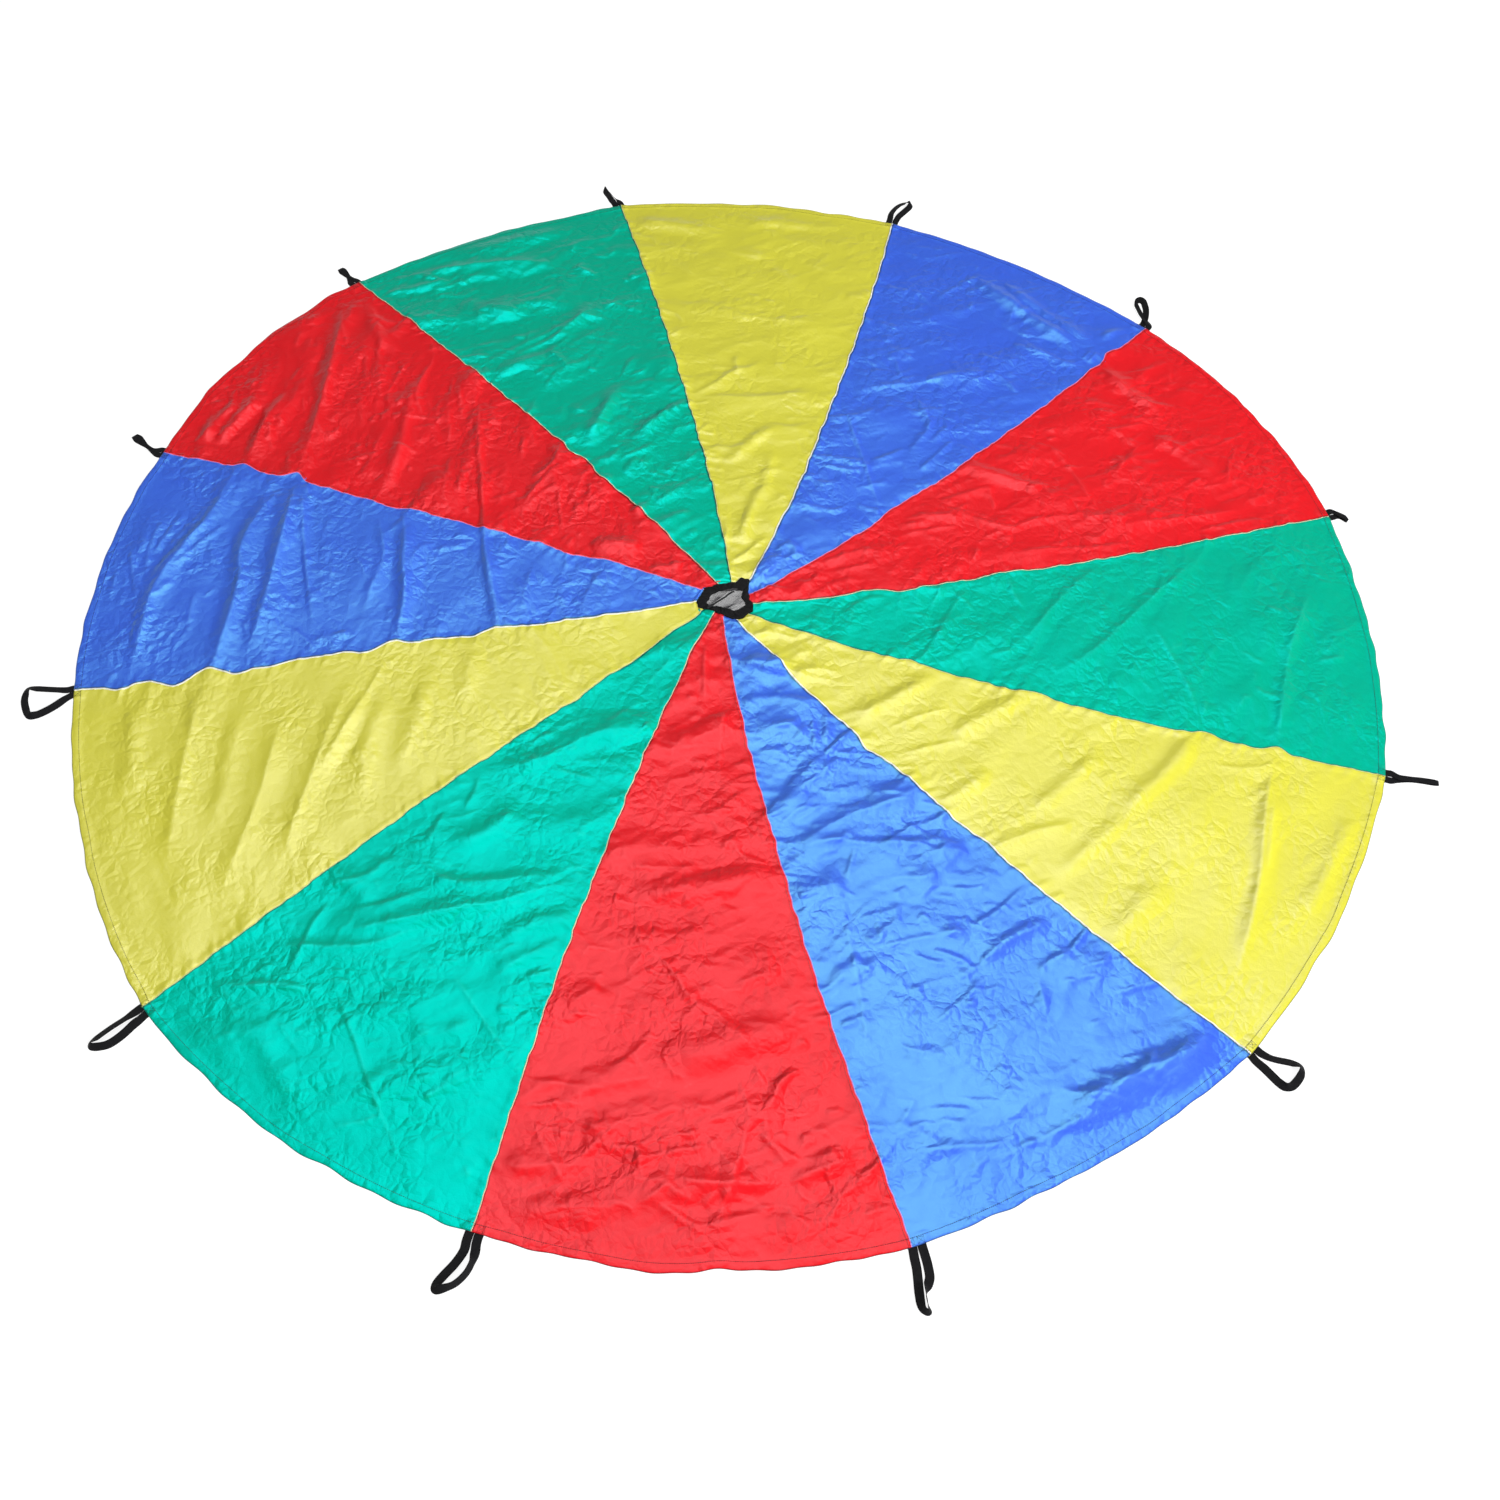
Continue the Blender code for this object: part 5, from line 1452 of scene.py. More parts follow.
@dataclass
class Gore:
    """One wedge of cloth, its lap over the next at the seams and its hem folded under at the rim."""

    number: int
    plan: CanopyPlan
    relief: Relief
    wear: Relief
    spacing: float = 0.0050
    thickness: float = 0.00045
    layer: float = 0.0009
    band: int = 10
    hem_rows: int = 5
    roll_rows: int = 4
    roll_radius: float = 0.00075
    pucker: float = 0.0013
    lap_from: float = 0.019
    lap_ramp: float = 0.008
    hem_ease: float = 0.008
    hem_swell: float = 0.0007

    @property
    def name(self) -> str:
        """The gore's node in the frame."""
        return f"gore_{self.number + 1:02d}_{Colour.of_gore(self.number).name.lower()}"

    def lay(self, share: float, across: Array) -> tuple[Array, Array]:
        """A row of the top sheet.

        Args:
            share: How far out the row lies.
            across: Places across the gore.

        Returns:
            The places in the plan, and the middle of the cloth's height there.
        """
        plan = self.plan.gore_points(self.number, share, across)
        width = np.linalg.norm(plan[-1] - plan[0])
        height = self.relief.at(plan) + self.thickness / 2
        from_own, from_next = across * width, (1 - across) * width
        height += self.lapped(from_own)
        height += self.puckers(self.number, share, from_own)
        height += self.puckers(self.number + 1, share, self.plan.lap - from_next)
        return plan, height

    def puckers(self, seam: int, share: float, away: Array) -> Array:
        """Short ripples across a seam, where its thread draws the cloth in.

        Args:
            seam: The seam.
            share: How far out.
            away: Distances from the seam.

        Returns:
            The ripples' heights.
        """
        rng = np.random.default_rng(900 + seam % self.plan.gores)
        at = share * self.plan.radius + away * 0.35
        wave = np.zeros_like(away)
        for _ in range(7):
            wave += np.sin(at * 2 * math.pi / rng.uniform(0.022, 0.085) + rng.uniform(0, 6.28))
        fall = np.exp(-((away / 0.030) ** 2)) * smooth(share / 0.08) * smooth((1.0 - share) / 0.02)
        return self.pucker * np.maximum(wave / 3.2 + 0.35, 0.0) * fall

    def groove(self, away: Array) -> Array:
        """How much painted shade lies in the thin line beside the seams where the cloth is drawn in, 0 to 1, from the
        distances from its own seam.
        """
        kind, width = Colour.of_gore(self.number), away[-1]
        if kind is Colour.YELLOW:
            return np.zeros_like(away)
        off = away - 0.0052 if kind is Colour.BLUE else width - self.plan.lap - 0.0016 - away
        return np.clip(1.6 - np.abs(off) / 0.0016, 0, 1)

    def hem_ripple(self, across: Array) -> Array:
        """Small in and out movement of the rim's edge, from the tension of the hem's thread."""
        rng = np.random.default_rng(300 + self.number)
        ripple = np.zeros_like(across)
        for _ in range(6):
            ripple += np.sin(across * rng.uniform(18, 70) + rng.uniform(0, 6.28))
        return ripple * 0.0007 * smooth(across / 0.08) * smooth((1 - across) / 0.08)

    def lapped(self, away: Array) -> Array:
        """How far the cloth is raised by its lap, from the distances from its own seam."""
        return self.layer * smooth((self.lap_from - away) / self.lap_ramp)

    def swell(self, share: Array | float) -> Array | float:
        """How far the hem swells, from its inner edge at 0 to the rim at 1."""
        return self.hem_swell * np.sin(math.pi * share)

    def hem_profile(self) -> list[Pair]:
        """The hem's cross-section over the rim and back under it: how far out and how far up."""
        reach, middle = self.plan.hem_width - self.roll_radius, self.layer - self.roll_radius
        shares = [step / self.hem_rows for step in range(1, self.hem_rows + 1)]
        turns = [math.pi * step / self.roll_rows for step in range(1, self.roll_rows)]
        over = [(min(self.plan.hem_width * share, reach), self.layer + self.swell(share)) for share in shares]
        roll = [(reach + self.roll_radius * math.sin(turn), middle + self.roll_radius * math.cos(turn))
                for turn in turns]
        drop = max(middle - self.roll_radius, 0.0)
        return over + roll + [(reach * (1 - share), drop) for share in (0.0, *shares)]

    def top(self) -> Iterable[tuple[Array, Array, Array, float]]:
        """The rows of the top sheet, from the vent to the hem.

        Returns:
            For each row the places in the plan, the heights, the distances from the gore's own seam, and how
            far out it lies on the flat cloth.
        """
        rim_width = 2 * math.pi * self.plan.radius / self.plan.gores
        count = int(round(self.plan.radius * 0.94 / self.spacing / self.band)) * self.band
        for row in range(count + 1):
            share = row / count
            if row % self.band == 0:
                width = max(rim_width * min(share + self.band / count, 1.0), 0.05)
                across = np.linspace(0, 1, max(8, int(round(width / self.spacing))) + 1)
            plan, height = self.lay(share, across)
            hemmed = smooth(1 - (1 - share) * self.plan.radius / self.hem_ease) * self.layer
            away = across * np.linalg.norm(plan[-1] - plan[0])
            yield plan, height + hemmed, away, share * self.plan.radius

    def hem(self, plan: Array, away: Array) -> Iterable[tuple[Array, Array, Array, float]]:
        """The rows of the hem, over the rim and back under it.

        Args:
            plan: The places of the top sheet's last row.
            away: Its distances from the gore's own seam.

        Returns:
            For each row the same as for the top sheet.
        """
        outward = unit_rows(plan)
        ripple = self.hem_ripple(away / away[-1])[:, None] * outward
        for index, (out, up) in enumerate(self.hem_profile()):
            spot = plan + outward * out + ripple * (out / self.plan.hem_width)
            height = self.relief.at(spot) + self.thickness / 2 + self.lapped(away) + up
            yield spot, height, away, self.plan.radius + index * 0.003

    def build(self, material: Material) -> None:
        """Builds the cloth as one closed sheet."""
        sheet_rows = list(self.top())
        rim, _, away, _ = sheet_rows[-1]
        sheet_rows += self.hem(rim, away)
        rows = [np.column_stack([plan, height]) for plan, height, _, _ in sheet_rows]
        cloth = [np.column_stack([away - away[-1] / 2, np.full_like(away, out)]) for _, _, away, out in sheet_rows]
        wear = [self.wear.at(plan) for plan, _, _, _ in sheet_rows]
        # Painted shade: a dark line beside the seams, kept as a point attribute.
        grooves = [self.groove(away) for _, _, away, _ in sheet_rows]
        sheet = rows_surface(rows, cloth, wear=wear, groove=grooves).thickened(self.thickness)
        obj = sheet.to_object(self.name + "_cloth", material)
        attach(obj, CANOPY_BODY)
        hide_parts(self.name)
        Colour.of_gore(self.number).value
        LOG.info("%s: %d triangles", obj.name, len(sheet.faces))


@dataclass
class Seam:
    """The overlocked edge and the stitches along one seam."""

    number: int
    plan: CanopyPlan
    relief: Relief
    gore: Gore
    steps: int = 420
    stitch: Stitch = Stitch(0.0042, 0.0040, 0.0008)

    def line(self, offset: float, rise: float) -> Array:
        """Points beside the seam on top of the cloth.

        Args:
            offset: How far clockwise from the edge.
            rise: How far above the cloth.

        Returns:
            The points, from the vent to the rim.
        """
        shares = np.linspace(0.004, 1.0, self.steps)
        edge = self.plan.seam_line(self.number, shares)
        side = right_of(unit_rows(np.gradient(edge, axis=0)))
        outward = unit_rows(edge[-1:])
        hem = edge[-1:] + outward * np.linspace(0.003, self.plan.hem_width - 0.001, 6)[:, None]
        places = np.concatenate([edge + side * offset, hem + side[-1:] * offset])
        share = np.concatenate([shares, np.ones(6)])
        height = self.relief.at(places) + self.gore.layer + self.gore.thickness + rise
        height += np.array([self.gore.puckers(self.number, s, np.array([offset]))[0] for s in share])
        hemmed = smooth((share - 1 + 0.005) / 0.005) * (self.gore.layer + 0.0003)
        return np.column_stack([places, height + hemmed])

    def build(self, wardrobe: Wardrobe, stitches: StitchRow) -> None:
        """Builds the edging and the stitch row."""
        kind = SeamKind.of_seam(self.number)
        width = kind.value[0]
        lanes = [self.line(width * share, rise) for share, rise in (
            (-0.15, -0.0006), (0.05, 0.0001), (0.5, 0.0003), (0.95, 0.0001), (1.1, -0.0004))]
        points = np.stack(lanes)
        along = travelled(points[2])
        cloth = [np.column_stack([along, np.full_like(along, lane * width / 4)]) for lane in range(5)]
        sheet = rows_surface(list(points[::-1]), cloth).thickened(0.0004)
        edging = sheet.to_object(f"seam_{self.number + 1:02d}_overlock", wardrobe.edging[kind])
        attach(edging, CANOPY_BODY)
        thread = wardrobe.thread_dark_as_shade[Colour[kind.value[2]]]
        stitches.sew(f"seam_{self.number + 1:02d}_stitches", [self.line(kind.value[3], 0.0002)],
                     thread, self.stitch)


@dataclass
class HemStitching:
    """The row of stitches that holds one gore's hem, and the tacks over the strap ends at its seam."""

    gore: Gore
    plan: CanopyPlan
    relief: Relief
    inset: float = 0.0030
    over: float = 0.0001
    stitch: Stitch = Stitch(0.0048, 0.0046, 0.0009)
    tack: Stitch = Stitch(0.0026, 0.0022, 0.0004)

    def line(self, inset: float, columns: int = 190) -> Array:
        """Points along the hem, on top of the cloth.

        Args:
            inset: How far outside the hem's inner edge.
            columns: The number of points.

        Returns:
            The points, from the gore's own seam to the next.
        """
        across = np.linspace(0.004, 0.988, columns)
        plan = self.plan.gore_points(self.gore.number, 1.0, across)
        width = np.linalg.norm(plan[-1] - plan[0])
        spot = plan + unit_rows(plan) * inset
        swell = self.gore.layer + self.gore.swell(inset / self.plan.hem_width)
        height = self.relief.at(spot) + self.gore.thickness + self.gore.lapped(across * width) + swell
        return np.column_stack([spot, height + self.over])

    def tacks(self) -> list[Array]:
        """Lines of the box and cross that tack each strap end through the hem."""
        angle, radius = self.plan.seam_rim(self.gore.number)
        outward, along = unit(angle), unit(angle + math.pi / 2)
        shift = HANDLES[self.gore.number].shift * HANDLE_SHIFT
        lines = []
        for side in (1, -1):
            corners = [(-0.018, -0.007), (-0.004, -0.007), (-0.004, 0.007), (-0.018, 0.007), (-0.018, -0.007)]
            for path in (corners, [corners[0], corners[2]], [corners[1], corners[3]]):
                flat = evenly(np.array(path), 24)
                spot = (outward * radius + outward * flat[:, :1]
                        + along * (flat[:, 1:] + shift + side * 0.011))
                from_edge = np.clip(-flat[:, 0] / self.plan.hem_width, 0, 1)
                swell = self.gore.layer * 2 + self.gore.swell(from_edge)
                height = self.relief.at(spot) + self.gore.thickness + swell + self.over
                lines.append(np.column_stack([spot, height]))
        return lines

    def build(self, wardrobe: Wardrobe, stitches: StitchRow) -> None:
        """Sews the hem row and the tacks."""
        number = self.gore.number
        thread = wardrobe.thread_dark_as_shade[Colour.of_gore(number)]
        stitches.sew(f"hem_{number + 1:02d}_stitches", [self.line(self.inset)], thread, self.stitch)
        stitches.sew(f"handle_{number + 1:02d}_tacks", self.tacks(), wardrobe.black_thread, self.tack)


# The vent


@dataclass
class Vent:
    """The ring of tape round the vent and the net under it."""

    plan: CanopyPlan
    relief: Relief
    gore: Gore
    steps: int = 260
    lanes: int = 15
    tape_thickness: float = 0.0011
    net_pitch: float = 0.0020
    net_thread: float = 0.00060
    net_turn_deg: float = 24.0
    lift: float = 0.0026
    crown: float = 0.0022
    stitch: Stitch = Stitch(0.0034, 0.0028, 0.0004)
    # The black beads that paint the shadow of the net's crease.
    crease_shadow_beads: Stitch = Stitch(0.0020, 0.0032, 0.0013)
    outer_mm: tuple[Pair, ...] = (
        (-98, -3), (-92, -21), (-54, -28), (3, -58), (23, -58), (56, -26), (56, 2), (45, 16), (42, 56),
        (44, 84), (38, 87), (31, 86), (24, 92), (13, 90), (10, 75), (-52, 60), (-78, 48))
    inner_mm: tuple[Pair, ...] = (
        (-70, -1), (-58, -14), (-39, -11), (6, -29), (37, -6), (23, 24), (26, 45), (8, 46), (-8, 41),
        (-36, 39), (-57, 28))

    def outline(self, corners: Sequence[Pair], soften: int) -> Array:
        """An outline round the vent at even angles, with its corners softened.

        Args:
            corners: Its corners in millimetres.
            soften: How many steps each point is averaged over.

        Returns:
            The points, anticlockwise.
        """
        points = np.array(corners, float) / 1000
        middle = np.array([-0.018, 0.008])
        angles = np.linspace(0, 2 * math.pi, self.steps, endpoint=False)
        saved = self.plan.outline_reach(points - middle, angles)
        kernel = np.hanning(soften + 2)[1:-1]
        kernel /= kernel.sum()
        padded = np.concatenate([saved[-soften:], saved, saved[:soften]])
        softened = np.convolve(padded, kernel, "same")[soften:-soften]
        return middle + unit(angles) * softened[:, None]

    def build(self, wardrobe: Wardrobe, stitches: StitchRow) -> None:
        """Builds the tape, its stitches and the net."""
        outer, inner = self.outline(self.outer_mm, 4), self.outline(self.inner_mm, 5)
        rng = np.random.default_rng(77)
        turn = np.linspace(0, 2 * math.pi, self.steps, endpoint=False)
        for edge, size in ((outer, 0.0011), (inner, 0.0009)):
            for count in (11, 17, 29):
                edge += unit(turn) * (size * 7 / (count - 4) * np.sin(turn * count + rng.uniform(0, 6.28)))[:, None]
        self.build_tape(outer, inner, turn, wardrobe.tape)
        for label, share in (("outer", 0.14), ("inner", 0.86)):
            places = mix(outer, inner, share)
            top = self.lift + self.bulge(share) + self.tape_thickness / 2
            line = np.column_stack([places, self.relief.at(places) + top + self.stitch.radius])
            stitches.sew(f"vent_{label}_stitches", [np.concatenate([line, line[:1]])],
                         wardrobe.black_thread, self.stitch)
        self.build_net(inner, wardrobe.net)
        # Three rows of black thread beads along the net's crease are a dark band that paints the crease's shadow.
        fold = mix(np.array([[-0.066, -0.024]]), np.array([[0.002, 0.040]]), np.linspace(0, 1, 24)[:, None])
        side = right_of(unit_rows(fold[-1:] - fold[:1]))
        lines = [np.column_stack([fold + side * off, self.net_height(fold) + 0.0014 - abs(off) * 0.4])
                 for off in (-0.0015, 0.0, 0.0015)]
        stitches.sew("vent_net_pleat", lines, wardrobe.black_thread, self.crease_shadow_beads)

    def bulge(self, share: float) -> float:
        """How far the tape bulges up, from its outer edge at 0 to its inner one at 1."""
        return self.crown * math.sin(math.pi * share) ** 0.6

    def build_tape(self, outer: Array, inner: Array, turn: Array, material: Material) -> None:
        """Builds the ring of tape.

        Args:
            outer: Its outer edge.
            inner: Its inner edge.
            turn: The directions of the edges' points.
            material: The tape's material.
        """
        lanes, cloth = [], []
        around = travelled(np.concatenate([outer, outer[:1]]))
        for lane in range(self.lanes + 1):
            share = lane / self.lanes
            places = mix(outer, inner, share)
            crease = sum(math.sin(math.pi * share) * 0.0007 * np.sin(turn * k + k + share * 3)
                         for k in (9, 14, 23, 31))
            lift = mix(self.lift, 0.0022, max(share - 0.75, 0.0) * 4)
            ring = np.column_stack([places, self.relief.at(places) + lift + self.bulge(share) + crease])
            lanes.append(np.concatenate([ring, ring[:1]]))
            cloth.append(np.column_stack([around, np.full(self.steps + 1, share * self.plan.tape_width)]))
        surface = rows_surface(lanes[::-1], cloth[::-1])
        surface = self.welded(surface, self.steps + 1).thickened(self.tape_thickness)
        tape = surface.to_object("vent_tape_ring", material)
        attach(tape, CANOPY_BODY)
        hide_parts("vent_tape")

    @staticmethod
    def welded(surface: Surface, row: int) -> Surface:
        """Joins the last point of each row of a ring to its first."""
        index = np.arange(len(surface.points))
        index[row - 1::row] -= row - 1
        return Surface(surface.points, index[surface.faces], surface.cloth, surface.marks)

    def net_height(self, places: Array) -> Array:
        """The net's height: it hangs loosely from the tape, with one crease across it."""
        start, end = np.array([-0.062, -0.018]), np.array([-0.006, 0.042])
        along = unit_rows(end - start)
        off = places - start
        side = off @ right_of(along)
        crease = 0.0048 * np.exp(-np.abs(side) / 0.008)
        slack = 0.0012 * np.sin(places[:, 0] * 110) * np.cos(places[:, 1] * 90)
        return self.relief.at(places) + 0.0020 + crease + slack

    def build_net(self, inner: Array, material: Material) -> None:
        """Builds the square net, cut where the tape covers it.

        Args:
            inner: The tape's inner edge.
            material: The net's material.
        """
        middle = inner.mean(axis=0)
        rim = (inner - middle) * (1 + 0.006 / np.linalg.norm(inner - middle, axis=1, keepdims=True))
        count = int(math.ceil((np.abs(rim).max() + self.net_pitch) / self.net_pitch))
        net = bmesh.new()
        bmesh.ops.create_grid(net, x_segments=count * 2, y_segments=count * 2, size=count * self.net_pitch)
        turned = Matrix.Rotation(math.radians(self.net_turn_deg), 4, "Z")
        bmesh.ops.transform(net, matrix=turned, verts=net.verts)
        angles = np.array([math.atan2(vert.co.y, vert.co.x) for vert in net.verts])
        reach = self.plan.outline_reach(rim[::6], angles) + 0.001
        outside = [vert for vert, limit in zip(net.verts, reach) if math.hypot(vert.co.x, vert.co.y) > limit]
        bmesh.ops.delete(net, geom=outside, context="VERTS")
        places = np.array([vert.co.xy for vert in net.verts]) + middle
        for vert, place, height in zip(net.verts, places, self.net_height(places)):
            vert.co = (place[0], place[1], height)
        mesh = bpy.data.meshes.new("net_lines")
        net.to_mesh(mesh)
        net.free()
        made = run_tree("vent_net_threads", mesh, self.thread_tree(), Radius=self.net_thread, Thread=material)
        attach(made, CANOPY_BODY)
        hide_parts("vent_net")
        LOG.info("%s: %d faces", made.name, len(made.data.polygons))

    @staticmethod
    def thread_tree() -> Tree:
        """A Geometry Nodes tree that lays a round thread along every edge of a mesh."""
        graph, given = thread_graph("net threads", Radius=0.0006)
        split = graph.node("GeometryNodeSplitEdges", {0: given["Geometry"]})
        lines = graph.node("GeometryNodeMeshToCurve", {0: split.outputs[0]})
        outline = graph.node("GeometryNodeCurvePrimitiveCircle", {"Resolution": 4, "Radius": given["Radius"]})
        threads = graph.node("GeometryNodeCurveToMesh", {
            "Curve": lines.outputs[0], "Profile Curve": outline.outputs[0], "Fill Caps": True})
        return end_graph(graph, threads.outputs[0], given["Thread"])


# The handles


@dataclass(frozen=True)
class HandleLie:
    """How one handle lies: its feet's place along the rim, how much longer they stay flat, and its route.

    The route's numbers are shares of the handle's reach, along and beside its own direction, and of the
    loop's opening for a handle that lies over on its side. The strap leans by so many degrees along its first
    side, at its tip and along its second side, or on a handle that lies over it seems to narrow, by a twist,
    to these shares of its width on the way to the tip.
    """

    shift: float
    flat: float
    route: tuple[tuple[float, ...], ...]
    lean: tuple[float, float, float] = (18.0, 62.0, 18.0)
    waist: tuple[float, float, float] = (0.75, 0.7, 0.6)


HANDLES: tuple[HandleLie, ...] = (
    HandleLie(1.0, 0.0, (
        (0.12, -0.04), (0.24, 0.06), (0.40, 0.12), (0.53, 0.16), (0.61, 0.19), (0.64, 0.23), (0.61, 0.26),
        (0.52, 0.24), (0.38, 0.20), (0.22, 0.16), (0.11, 0.10)), (55, 75, 55)),
    HandleLie(-0.25, 0.04, (
        (0.13, -0.08), (0.30, -0.11), (0.55, -0.20), (0.79, -0.28), (0.88, -0.26), (0.89, -0.18), (0.82, -0.08),
        (0.71, 0.0), (0.52, 0.07), (0.32, 0.10), (0.13, 0.08))),
    HandleLie(0.85, 0.0, (
        (0.11, -0.04), (0.17, 0.12), (0.25, 0.31), (0.34, 0.46), (0.42, 0.59), (0.51, 0.68), (0.61, 0.66),
        (0.62, 0.55), (0.52, 0.40), (0.37, 0.27), (0.24, 0.18), (0.11, 0.11))),
    HandleLie(-0.2, 0.0, (
        (0.09, -0.07, 0.0), (0.16, -0.07, 0.0), (0.22, -0.10, 0.0), (0.27, -0.16, 0.0), (0.295, -0.22, 0.15),
        (0.305, -0.25, 0.5), (0.295, -0.22, 0.85), (0.27, -0.16, 1.0), (0.22, -0.10, 1.0), (0.16, -0.02, 0.75),
        (0.09, 0.08, 0.2)), waist=(0.85, 0.8, 0.6)),
    HandleLie(-0.65, 0.0, (
        (0.09, -0.07, 0.0), (0.20, -0.02, 0.0), (0.38, 0.04, 0.0), (0.60, 0.085, 0.0), (0.82, 0.115, 0.0),
        (0.91, 0.125, 0.15), (0.94, 0.13, 0.5), (0.91, 0.125, 0.85), (0.82, 0.115, 1.0), (0.60, 0.085, 1.0),
        (0.38, 0.04, 1.0), (0.22, 0.02, 0.75), (0.09, 0.08, 0.2)), waist=(0.65, 0.72, 0.68)),
    HandleLie(0.0, 0.0, (
        (0.10, -0.10), (0.30, -0.11), (0.55, -0.13), (0.69, -0.13), (0.76, -0.04), (0.77, 0.12), (0.74, 0.28),
        (0.66, 0.36), (0.52, 0.30), (0.27, 0.13), (0.10, 0.08)), (14, 50, 20)),
    HandleLie(1.0, 0.45, (
        (0.12, -0.09), (0.28, -0.10), (0.46, -0.13), (0.66, -0.17), (0.84, -0.19), (0.92, -0.15),
        (0.93, -0.09), (0.82, -0.09), (0.66, -0.07), (0.55, 0.00), (0.44, 0.06), (0.26, 0.08), (0.12, 0.08)),
        (25, 60, 84)),
    HandleLie(0.15, 0.12, (
        (0.11, -0.07), (0.26, -0.05), (0.47, -0.10), (0.68, -0.19), (0.85, -0.25), (0.91, -0.22),
        (0.87, -0.13), (0.76, 0.02), (0.58, 0.12), (0.40, 0.15), (0.25, 0.13), (0.11, 0.09)), (8, 45, 62)),
    HandleLie(0.25, 0.0, (
        (0.10, -0.07), (0.26, -0.06), (0.51, -0.07), (0.75, -0.065), (0.89, -0.05), (0.92, 0.01),
        (0.84, 0.09), (0.69, 0.17), (0.49, 0.18), (0.29, 0.15), (0.11, 0.10)), (28, 60, 50)),
    HandleLie(0.35, 0.0, (
        (0.10, -0.06), (0.24, -0.08), (0.46, -0.13), (0.67, -0.18), (0.79, -0.19), (0.84, -0.11),
        (0.86, 0.06), (0.82, 0.27), (0.75, 0.44), (0.65, 0.46), (0.46, 0.39), (0.26, 0.27), (0.11, 0.14)),
        (12, 45, 16)),
    HandleLie(-0.85, 0.0, (
        (0.09, -0.07, 0.0), (0.24, -0.02, 0.0), (0.40, -0.06, 0.0), (0.54, -0.12, 0.0), (0.68, -0.185, 0.0),
        (0.77, -0.225, 0.15), (0.80, -0.24, 0.5), (0.77, -0.225, 0.85), (0.68, -0.185, 1.0),
        (0.54, -0.12, 1.0), (0.40, -0.05, 1.0), (0.24, 0.02, 0.75), (0.09, 0.08, 0.2)), waist=(0.55, 1.35, 0.9)),
    HandleLie(0.9, 0.0, (
        (0.09, -0.07, 0.0), (0.20, -0.03, 0.0), (0.34, -0.01, 0.0), (0.46, -0.01, 0.0), (0.56, -0.01, 0.03),
        (0.63, -0.01, 0.2), (0.65, -0.01, 0.5), (0.63, -0.01, 0.8), (0.56, -0.01, 0.97), (0.46, -0.01, 1.0),
        (0.34, 0.0, 1.0), (0.21, 0.03, 0.75), (0.09, 0.08, 0.2)), waist=(0.75, 1.25, 0.8)),
)


